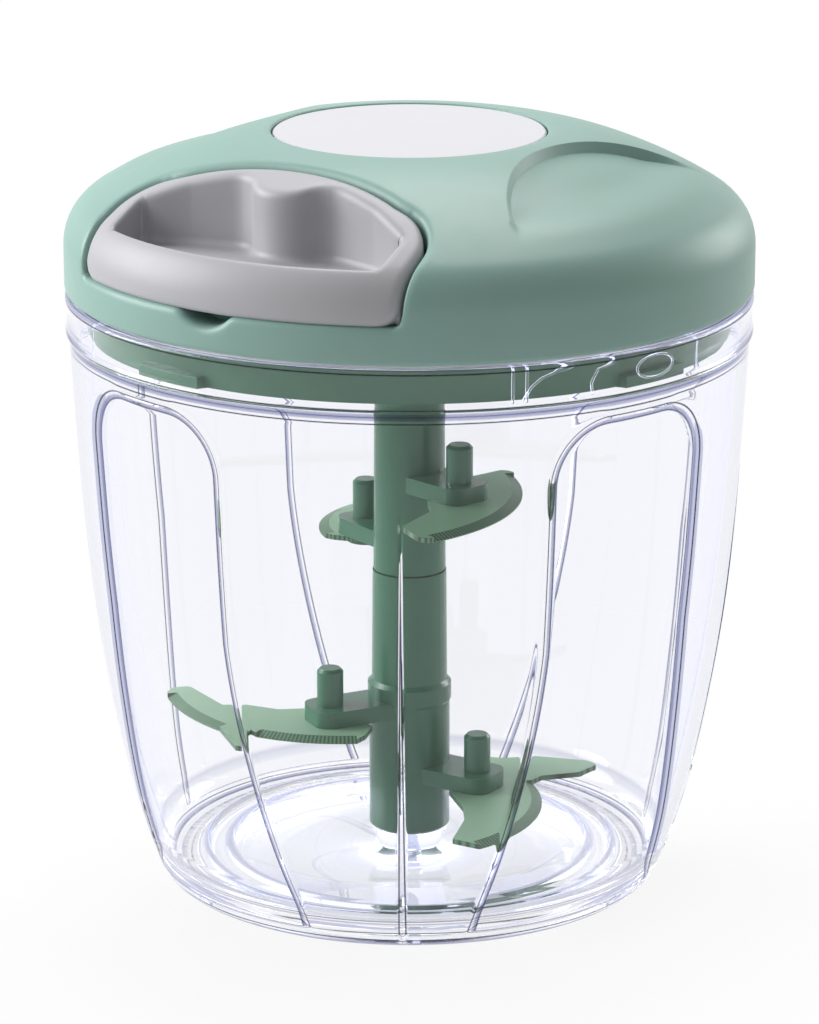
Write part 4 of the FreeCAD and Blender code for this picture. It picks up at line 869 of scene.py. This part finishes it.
def ribForm(shape, away, height, outside):
    # Distance from a rib's side, and how far the rib stands out of the wall
    tall = max(1 - height / shape["ribTop"], 0.0)
    half = shape["ribHalf"] * (shape["ribTip"] + (1 - shape["ribTip"]) * tall)
    beside = math.radians(180.0 / shape["panels"] - away) * outside - half
    relief = shape["ribRelief"] * tall ** shape["ribTaper"] * max(-beside / half, 0.0)
    return beside, relief * smoothStep(height, *shape["ribFade"])


def ringDistance(shape, radius, height):
    # Distance from a moulded edge that runs right round the bowl, or none
    for inner, outer, low, high, edge, slope, start in shape["rings"]:
        if inner < radius < outer and low < height < high:
            return start + slope * (height - edge)
    return None


def makeBowl(shape):
    half = sum(shape["columns"])
    count = half * 2 * shape["panels"]
    bm = spunSheet(bowlProfile(shape), count)
    moulding = bm.verts.layers.float.new("moulding")
    outline = shape["outside"]
    bottom, top = shape["skinHeights"]
    lineReach, linePlace = shape["ribShadeLine"]
    cornerRadius, cornerHeight, cornerReach = shape["cornerShadeLine"]
    for vert in bm.verts:
        radius = math.hypot(vert.co.x, vert.co.y)
        height = vert.co.z
        # The moulding layer keeps each vertex's distance from a moulded edge, which places the painted shade
        # lines
        vert[moulding] = clearOfPaintedShade
        if radius < 0.01:
            continue
        column = round(math.atan2(vert.co.y, vert.co.x) / (2 * math.pi) * count) % count
        panel, column = divmod(column, half * 2)
        side = 1
        if column > half:
            column = half * 2 - column
            side = -1
            panel += 1
        away = columnTurn(shape, column, height)
        ribFrom = 180.0 / shape["panels"] - shape["ribBand"]
        shift = shape["ribShift"] * smoothStep(away, panelHalf(shape, height) + shape["panelBand"], ribFrom)
        turn = math.radians(shape["panelTurn"] + 360.0 / shape["panels"] * panel + side * away + shift)
        outside = splineAt(outline, min(max(height, outline[0][1]), outline[-1][1]))
        isOuter = radius > outside - shape["skinDepth"] and bottom < height < top
        if isOuter:
            edge = panelEdge(shape, away, height, outside)
            vert[moulding] = min(max(edge, -2.0), clearOfPaintedShade)
            slope = 1 - smoothStep(edge, -shape["panelStep"], shape["panelStep"])
            radius -= shape["panelDepth"] * slope * smoothStep(height, *shape["panelFade"])
            beside, relief = ribForm(shape, away, height, outside)
            radius += relief
            if beside < lineReach and height < shape["ribTop"]:
                vert[moulding] = beside + linePlace
        ring = ringDistance(shape, radius, height)
        fromCorner = abs(height - cornerHeight)
        if ring is not None:
            vert[moulding] = ring
        elif not isOuter and radius > cornerRadius and fromCorner < cornerReach:
            vert[moulding] = clearOfPaintedShade + softPaintedShade * (1 - fromCorner / cornerReach)
        vert.co.x = radius * math.sin(turn)
        vert.co.y = -radius * math.cos(turn)
    bmesh.ops.remove_doubles(bm, verts=bm.verts, dist=1e-4)
    bmesh.ops.recalc_face_normals(bm, faces=bm.faces)
    return bm


def beadAlong(places, radius, closed, sides=8):
    # A round bead or cord that follows points
    bm = bmesh.new()
    loops = []
    count = len(places)
    for i, spot in enumerate(places):
        before = places[i - 1] if closed or i else spot
        after = places[(i + 1) % count] if closed or i < count - 1 else spot
        turn = (after - before).normalized().to_track_quat("Z", "Y").to_matrix().to_4x4()
        turn.translation = spot
        ring = bmesh.ops.create_circle(bm, segments=sides, radius=radius, matrix=turn)["verts"]
        edges = dict.fromkeys(edge for vert in ring for edge in vert.link_edges)
        loops.append(list(edges))
    for i in range(count if closed else count - 1):
        bmesh.ops.bridge_loops(bm, edges=loops[i] + loops[(i + 1) % count])
    if not closed:
        bmesh.ops.holes_fill(bm, edges=loops[0] + loops[-1], sides=sides)
    bmesh.ops.recalc_face_normals(bm, faces=bm.faces)
    return bm


def onCollar(turn, height, radius):
    angle = math.radians(turn)
    return Vector((radius * math.sin(angle), -radius * math.cos(angle), height))


# Marks on the collar: an oval to press at, a stop bar and the edges of the bayonet's ramp, seen through it.
# Turns are in degrees, heights and radii in millimetres.
collarMarks = {
    "radius": 64.75,
    "inner": 62.3,
    "bead": 0.28,
    "ovalBead": 0.24,
    "lineBead": 0.22,
    "ovalTurn": 77.2,
    "ovalHalf": (4.0, 2.05),   # degrees across, millimetres up
    "ovalHeight": 111.8,
    "ovalPoints": 40,
    "barTurns": (51.2, 53.6),
    "barHeights": (107.9, 110.0, 112.0, 113.9),
    "ramp": ((52.9, 108.3), (54.4, 110.8), (56.1, 112.3), (58.8, 113.4), (61.8, 113.9)),
    "pad": ((65.4, 107.9), (65.2, 110.3), (66.5, 112.8), (69.7, 113.6)),
    "lineTurns": (89.5, -31.0),
    "lineHeights": (107.9, 110.0, 112.0, 114.2),
}


def makeCollarMarks(marks):
    across, up = marks["ovalHalf"]
    oval = []
    for i in range(marks["ovalPoints"]):
        angle = 2 * math.pi * i / marks["ovalPoints"]
        turn = marks["ovalTurn"] + across * math.cos(angle)
        oval.append(onCollar(turn, marks["ovalHeight"] + up * math.sin(angle), marks["radius"]))
    bars = [[(turn, height) for height in marks["barHeights"]] for turn in marks["barTurns"]]
    lines = [[(turn, height) for height in marks["lineHeights"]] for turn in marks["lineTurns"]]
    paths = [(path, marks["bead"]) for path in (*bars, marks["ramp"], marks["pad"])]
    paths += [(path, marks["lineBead"]) for path in lines]
    beads = [(oval, marks["ovalBead"], True)]
    for path, radius in paths:
        beads.append(([onCollar(turn, height, marks["inner"]) for turn, height in path], radius, False))
    whole = bmesh.new()
    for places, radius, closed in beads:
        bead = beadAlong(places, radius, closed)
        mesh = bpy.data.meshes.new("bead")
        bead.to_mesh(mesh)
        bead.free()
        whole.from_mesh(mesh)
        bpy.data.meshes.remove(mesh)
    return whole


clear = made["clearBowl"]
bowlPiece = finishPiece("bowl_shell", makeBowl(bowlShape), clear, "bowl", ("bowl",), 50.0)
finishPiece("collar_marks", makeCollarMarks(collarMarks), clear, "bowl")
print("bowl made with", len(bowlPiece.data.polygons), "faces")


# Lid cover: the dome as a spun sheet, scored for the handle's pocket and the finger scoops, then rolled
# over at the rims and given its wall. Lengths are in millimetres, turns in degrees.
lidShape = {
    "handleBack": 35.0,       # distance of the handle's back edge from the axis
    "handleBow": 3.7,
    "handleCornerIn": 9.3,
    "handleHalf": 33.7,
    "handleBend": 10.0,
    "sideStart": 45.4,
    "frontHalf": 36.7,
    "frontAt": 77.0,          # the outline ends in front of the lid
    "planSpacing": 1.0,
    "planBehind": -30.0,      # the pocket and the handle lie in front of this
    "lipBefore": -45.0,
    "lipSpacing": 0.6,
    "outlineTop": 155.0,
    "outlineFlare": 0.16,
    "pocketGap": 0.7,
    "pocketFloor": 122.3,
    "rim": 1.6,               # rounding of the pocket's lips
    "lipRim": 1.0,            # rounding of the front lip
    "cornerBend": 3.0,
    "notchBend": 7.6,
    "notchHeight": 127.2,
    "lipDepth": 5.0,
    "scoopTurn": 91.4,
    "scoopOut": 75.6,
    "scoopBend": 46.0,
    "scoopDepth": 1.9,
    "scoopWall": 0.9,
    "scoopFade": (43.0, 56.0),
    "scoopAbove": 125.0,
    "scoopPoints": 220,
    "seatRadius": 25.95,
    "seatRim": 0.5,
    "seatFloor": 143.55,
    "seatInner": 0.8,         # the seat goes in to this share of its radius, under the disc
    "lowerEdge": 1.0,         # height of the rolled lower edge
    "wall": 1.5,
    "rings": {"shoulder": 10, "top": 30},
    "sectors": 300,
}


def handlePlan(shape):
    inner = shape["handleHalf"] - shape["handleCornerIn"]
    bow = shape["handleBow"]
    backBend = (inner * inner + bow * bow) / (2 * bow)
    backAt = shape["handleBack"] + bow
    return [
        (-shape["frontHalf"], -shape["frontAt"]),
        (shape["frontHalf"], -shape["frontAt"]),
        (shape["handleHalf"], -shape["sideStart"], shape["handleBend"]),
        (inner, -backAt, backBend),
        (-inner, -backAt, shape["handleBend"]),
        (-shape["handleHalf"], -shape["sideStart"]),
    ]


def lipOutline(shape, halfWidth):
    # The front lip in elevation, x and height: level with a dip for a finger and rounded ends
    level = shape["pocketFloor"] - shape["lipRim"]
    bend = shape["cornerBend"]
    notchBend = shape["notchBend"] + shape["lipRim"]
    dip = math.sqrt(notchBend ** 2 - (shape["notchHeight"] - level) ** 2)
    top = shape["outlineTop"]
    flare = (top - level) * shape["outlineFlare"]
    return closedOutline([
        (-halfWidth + bend, level),
        (-dip, level, notchBend),
        (dip, level),
        (halfWidth - bend, level, bend),
        (halfWidth, level + bend),
        (halfWidth + flare, top),
        (-halfWidth - flare, top),
        (-halfWidth, level + bend, bend),
    ], shape["lipSpacing"])


def crossingOf(plan, radius, shape):
    # How far to the side the plan outline leaves the lid at the front
    return max(point.x for point in plan if point.length < radius and point.y < shape["lipBefore"])


def isWithin(spot, plan, lip, shape):
    flat = Vector(spot[:2])
    return spot.y < shape["planBehind"] and isInside(plan, flat) and isInside(lip, Vector((spot.x, spot.z)))


def scoopPlaces(shape):
    for side in (1, -1):
        turn = math.radians(shape["scoopTurn"] * side)
        yield Vector((math.sin(turn), -math.cos(turn))) * shape["scoopOut"]


def circleOutline(centre, radius, count):
    return [centre + Vector((math.cos(2 * math.pi * i / count), math.sin(2 * math.pi * i / count))) * radius
            for i in range(count)]


def sinkScoops(bm, shape):
    centres = list(scoopPlaces(shape))
    inner, outer = shape["scoopFade"]
    for vert in bm.verts:
        flat = Vector(vert.co[:2])
        radius = flat.length
        away = min((flat - centre).length for centre in centres)
        if away > shape["scoopBend"] or radius > outer or vert.co.z < shape["scoopAbove"]:
            continue
        ramp = min((shape["scoopBend"] - away) / shape["scoopWall"], 1.0)
        sink = shape["scoopDepth"] * ramp * (1 - smoothStep(radius, inner, outer))
        vert.co -= domeNormal(vert.co) * sink


def smoothedAlong(vectors, times):
    for _ in range(times):
        vectors = [vector.normalized() for vector in softened(vectors, 1)]
    return vectors


rims = {
    "lipAt": -50.0,       # only in front of this can a rim follow the lip's outline
    "smoothing": 5,
    "steps": 5,
    "steepest": 0.6,      # the least slope by which a rim is set back
    "shortest": 0.12,     # edges that scoring leaves shorter than this are merged
    "turnFrom": (0.2, 0.8),   # how far a wall looks up or down where it passes from side to front
}


def wallsAlong(loop, plan, lip, outwards):
    # The way that the wall behind a rim faces: from the plan outline, or from the elevation at the front lip
    planNormals = outwardNormals(plan)
    lipNormals = outwardNormals(lip) if lip else None
    sign = 1.0 if outwards else -1.0
    walls = []
    for vert in loop:
        normal, away = normalNear(plan, planNormals, Vector(vert.co[:2]))
        wall = Vector((normal.x, normal.y, 0.0))
        if lip and vert.co.y < rims["lipAt"]:
            lipNormal, lipAway = normalNear(lip, lipNormals, Vector((vert.co.x, vert.co.z)))
            if lipAway < away:
                wall = Vector((lipNormal.x, 0.0, lipNormal.y))
        walls.append(wall * sign)
    return smoothedAlong(walls, rims["smoothing"])


def rolledRim(bm, loop, walls, normals, radius, steps=rims["steps"]):
    # Rolls the rim over from the sheet to the wall that drops behind it
    count = len(loop)
    starts = [vert.co.copy() for vert in loop]
    alongs = smoothedAlong([(starts[(i + 1) % count] - starts[i - 1]).normalized() for i in range(count)], 2)
    corners, ends = [], []
    for spot, along, wall, normal in zip(starts, alongs, walls, normals):
        into = normal.cross(along).normalized()
        into = into if into.dot(wall) > 0 else -into
        down = wall.cross(along).normalized()
        down = down if down.dot(normal) < 0 else -down
        corner = spot + into * (radius / max(into.dot(wall), rims["steepest"]))
        corners.append(corner)
        ends.append(corner + down * radius)
    for step in range(1, steps + 1):
        share = step / steps
        places = []
        for spot, corner, end in zip(starts, corners, ends):
            places.append(spot * (1 - share) ** 2 + corner * (2 * share * (1 - share)) + end * share ** 2)
        loop = drawOn(bm, loop, places)
    return loop


def filled(bm, loop):
    edges = [bm.edges.get((vert, loop[(i + 1) % len(loop)])) for i, vert in enumerate(loop)]
    bmesh.ops.contextual_create(bm, geom=edges)


def cleared(bm, loopWanted):
    # Merges the tiny edges that scoring leaves along the rims, and gives the loop that is wanted
    edge = [vert for vert in bm.verts if vert.is_boundary]
    bmesh.ops.remove_doubles(bm, verts=edge, dist=rims["shortest"])
    return [loop for loop in rimLoops(bm) if loopWanted(loop)]


def makeLid(shape):
    low = domeShape["bottom"] + shape["lowerEdge"]
    inner = shape["seatRadius"] + shape["seatRim"]
    bm = domeSheet(outerArcs, 0.0, low, inner, shape["rings"], shape["sectors"])
    plan = softened(closedOutline(handlePlan(shape), shape["planSpacing"]), 2)
    plan = grown(plan, shape["pocketGap"] + shape["rim"])
    lip = softened(lipOutline(shape, crossingOf(plan, domeShape["radius"], shape) - 0.1), 1)
    bands = bmesh.new()
    curtain(bands, plan, bandReach["plan"])
    curtain(bands, lip, bandReach["lip"], False)
    for centre in scoopPlaces(shape):
        for inset in (0.0, shape["scoopWall"]):
            circle = circleOutline(centre, shape["scoopBend"] - inset, shape["scoopPoints"])
            curtain(bands, circle, bandReach["scoop"])
    bm = scored(bm, bands)
    gone = [face for face in bm.faces if isWithin(face.calc_center_median(), plan, lip, shape)]
    bmesh.ops.delete(bm, geom=gone, context="FACES")
    sinkScoops(bm, shape)
    # Of the open edges only the pocket's goes up and down, and only the seat's lies at the top
    pocket = cleared(bm, lambda loop: max(v.co.z for v in loop) - min(v.co.z for v in loop) > 5.0)[0]
    walls = wallsAlong(pocket, plan, lip, False)
    normals = [domeNormal(vert.co) for vert in pocket]
    pocket = rolledRim(bm, pocket, walls, normals, shape["rim"])
    level = shape["pocketFloor"]
    places = []
    for vert, wall in zip(pocket, walls):
        front = smoothStep(wall.z, *rims["turnFrom"])
        place = Vector((vert.co.x, vert.co.y, level))
        places.append(place.lerp(vert.co + Vector((0.0, shape["lipDepth"], 0.0)), front))
    pocket = drawOn(bm, pocket, places)
    pocket = drawOn(bm, pocket, [Vector((place.x, place.y + 0.02, level)) for place in places])
    filled(bm, pocket)
    seat = [loop for loop in rimLoops(bm) if min(vert.co.z for vert in loop) > shape["seatFloor"]][0]
    inwards = [Vector((-vert.co.x, -vert.co.y, 0.0)).normalized() for vert in seat]
    seat = rolledRim(bm, seat, inwards, [Vector((0.0, 0.0, 1.0))] * len(seat), shape["seatRim"], 3)
    for share in (1.0, shape["seatInner"]):
        places = [Vector((vert.co.x * share, vert.co.y * share, shape["seatFloor"])) for vert in seat]
        seat = drawOn(bm, seat, places)
    bmesh.ops.remove_doubles(bm, verts=bm.verts, dist=weld)
    bmesh.ops.recalc_face_normals(bm, faces=bm.faces)
    return bm


def giveWall(piece, thickness):
    wall = piece.modifiers.new("wall", "SOLIDIFY")
    wall.thickness = thickness * mm
    wall.offset = -1.0


lidMesh = makeLid(lidShape)
lidPiece = finishPiece("lid_shell", lidMesh, made["sageShell"], "lid", ("lid_cover",), 28.0)
giveWall(lidPiece, lidShape["wall"])
print("lid made with", len(lidPiece.data.polygons), "faces")


# Pull handle: a ring of the same dome, drawn down round its outside and into the cup for the fingers.
gripShape = {
    "setBack": 0.4,
    "bottom": 122.6,
    "cupFloor": 128.3,
    "outerRim": 1.5,
    "innerRim": 1.5,
    "cupBend": 1.5,
    "lipCorner": 2.2,
    "lipFlare": 5.0,
    "lipDepth": 2.0,
    "front": 60.2,            # the opening's front wall, concentric with the lid
    "sideHalf": 29.2,
    "frontCorner": 52.8,
    "sideBack": 44.9,
    "slope": (20.5, 41.2),
    "lobe": (12.5, 39.2),
    "bulge": (5.5, 42.0),
    "footBend": 6.0,
    "bulgeBend": 8.5,
    "planSpacing": 0.9,
    "openingSpacing": 0.7,
    "lowerEdge": 121.0,
    "innerEdge": 30.0,
    "rings": {"shoulder": 12, "top": 30},
    "sectors": 360,
}


def gripPlan(shape):
    side, slope, lobe, bulge = shape["sideHalf"], shape["slope"], shape["lobe"], shape["bulge"]
    return [
        (-side, -shape["frontCorner"], shape["front"]),
        (side, -shape["frontCorner"]),
        (side, -shape["sideBack"]),
        (slope[0], -slope[1]),
        (lobe[0], -lobe[1], shape["footBend"]),
        (bulge[0], -bulge[1], -shape["bulgeBend"]),
        (-bulge[0], -bulge[1], shape["footBend"]),
        (-lobe[0], -lobe[1]),
        (-slope[0], -slope[1]),
        (-side, -shape["sideBack"]),
    ]


def makeHandle(shape, around):
    inset = shape["setBack"]
    arcs = domeArcs(inset)
    bm = domeSheet(arcs, inset, shape["lowerEdge"], shape["innerEdge"], shape["rings"], shape["sectors"])
    rim = shape["outerRim"]
    plan = grown(softened(closedOutline(handlePlan(around), shape["planSpacing"]), 2), -rim)
    half = crossingOf(plan, domeShape["radius"] - inset, around)
    level = shape["bottom"] + rim
    bend = shape["lipCorner"]
    top = around["outlineTop"]
    lip = softened(closedOutline([
        (-half + bend, level),
        (half - bend, level, bend),
        (half, level + bend),
        (half + shape["lipFlare"], top),
        (-half - shape["lipFlare"], top),
        (-half, level + bend, bend),
    ], around["lipSpacing"]), 1)
    opening = softened(closedOutline(gripPlan(shape), shape["openingSpacing"]), 3)
    opening = grown(opening, shape["innerRim"])
    bands = bmesh.new()
    curtain(bands, plan, bandReach["plan"])
    curtain(bands, opening, bandReach["opening"])
    curtain(bands, lip, bandReach["lip"], False)
    bm = scored(bm, bands)
    gone = []
    for face in bm.faces:
        spot = face.calc_center_median()
        if not isWithin(spot, plan, lip, around) or isInside(opening, Vector(spot[:2])):
            gone.append(face)
    bmesh.ops.delete(bm, geom=gone, context="FACES")
    loops = cleared(bm, lambda loop: len(loop) > 40)
    loops.sort(key=lambda loop: max(vert.co.x for vert in loop))
    cup, rimLoop = loops[0], loops[-1]
    walls = wallsAlong(rimLoop, plan, lip, True)
    normals = [domeNormal(vert.co, arcs) for vert in rimLoop]
    rimLoop = rolledRim(bm, rimLoop, walls, normals, rim)
    places = []
    for vert, wall in zip(rimLoop, walls):
        under = smoothStep(-wall.z, *rims["turnFrom"])
        places.append(Vector((vert.co.x, vert.co.y + shape["lipDepth"] * under, shape["bottom"])))
    rimLoop = drawOn(bm, rimLoop, places)
    filled(bm, rimLoop)
    walls = wallsAlong(cup, opening, None, False)
    normals = [domeNormal(vert.co, arcs) for vert in cup]
    cup = rolledRim(bm, cup, walls, normals, shape["innerRim"])
    bend = shape["cupBend"]
    floor = shape["cupFloor"]
    starts = [vert.co.copy() for vert in cup]
    cup = drawOn(bm, cup, [Vector((spot.x, spot.y, floor + bend)) for spot in starts])
    for angle in (30, 60, 90):
        turn = math.radians(angle)
        slide = bend * (1 - math.cos(turn))
        height = floor + bend * (1 - math.sin(turn))
        cup = drawOn(bm, cup, [Vector((spot.x + wall.x * slide, spot.y + wall.y * slide, height))
                               for spot, wall in zip(starts, walls)])
    filled(bm, cup)
    bmesh.ops.remove_doubles(bm, verts=bm.verts, dist=weld)
    bmesh.ops.recalc_face_normals(bm, faces=bm.faces)
    return bm


handleMesh = makeHandle(gripShape, lidShape)
handlePiece = finishPiece("handle_grip", handleMesh, made["greyHandle"], "handle",
                          ("pull_handle",), 50.0)
print("handle made with", len(handlePiece.data.polygons), "faces")


# Pull cord: the lead from the reel through the eyelet to the knot in the handle.
leadShape = {
    "radius": 1.0,
    "height": 130.7,
    "leave": 24.5,            # where it leaves the winding, from the axis
    "corner": 28.9,           # where it turns into the eyelet
    "bend": 4.0,
    "end": 37.15,
    "steps": (6, 8, 41),      # points on the way to the bend, round it and on to the knot
    "sides": 16,
    "stretchFrom": 34.4,
    "stretchTo": 36.4,
}


def leadRoute(shape):
    angle = math.acos(shape["leave"] / shape["corner"])
    start = Vector((-math.sin(angle), -math.cos(angle), 0.0)) * shape["leave"]
    corner = Vector((0.0, -shape["corner"], 0.0))
    come = (corner - start).normalized()
    go = Vector((0.0, -1.0, 0.0))
    swing = come.angle(go)
    back = shape["bend"] * math.tan(swing / 2)
    before, after = corner - come * back, corner + go * back
    centre = before + Vector((come.y, -come.x, 0.0)) * shape["bend"]
    end = Vector((0.0, -shape["end"], 0.0))
    straight, bending, onwards = shape["steps"]
    route = [start.lerp(before, i / straight) for i in range(straight)]
    route += [centre + (before - centre).slerp(after - centre, i / bending) for i in range(bending)]
    route += [after.lerp(end, i / (onwards - 1)) for i in range(onwards)]
    return [point + Vector((0.0, 0.0, shape["height"])) for point in route]


leadMesh = beadAlong(leadRoute(leadShape), leadShape["radius"], False, leadShape["sides"])
lead = finishPiece("pull_cord_lead", leadMesh, made["braidedCord"], "", ("pull_cord",), 60.0)
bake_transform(lead)
print("cord lead made")
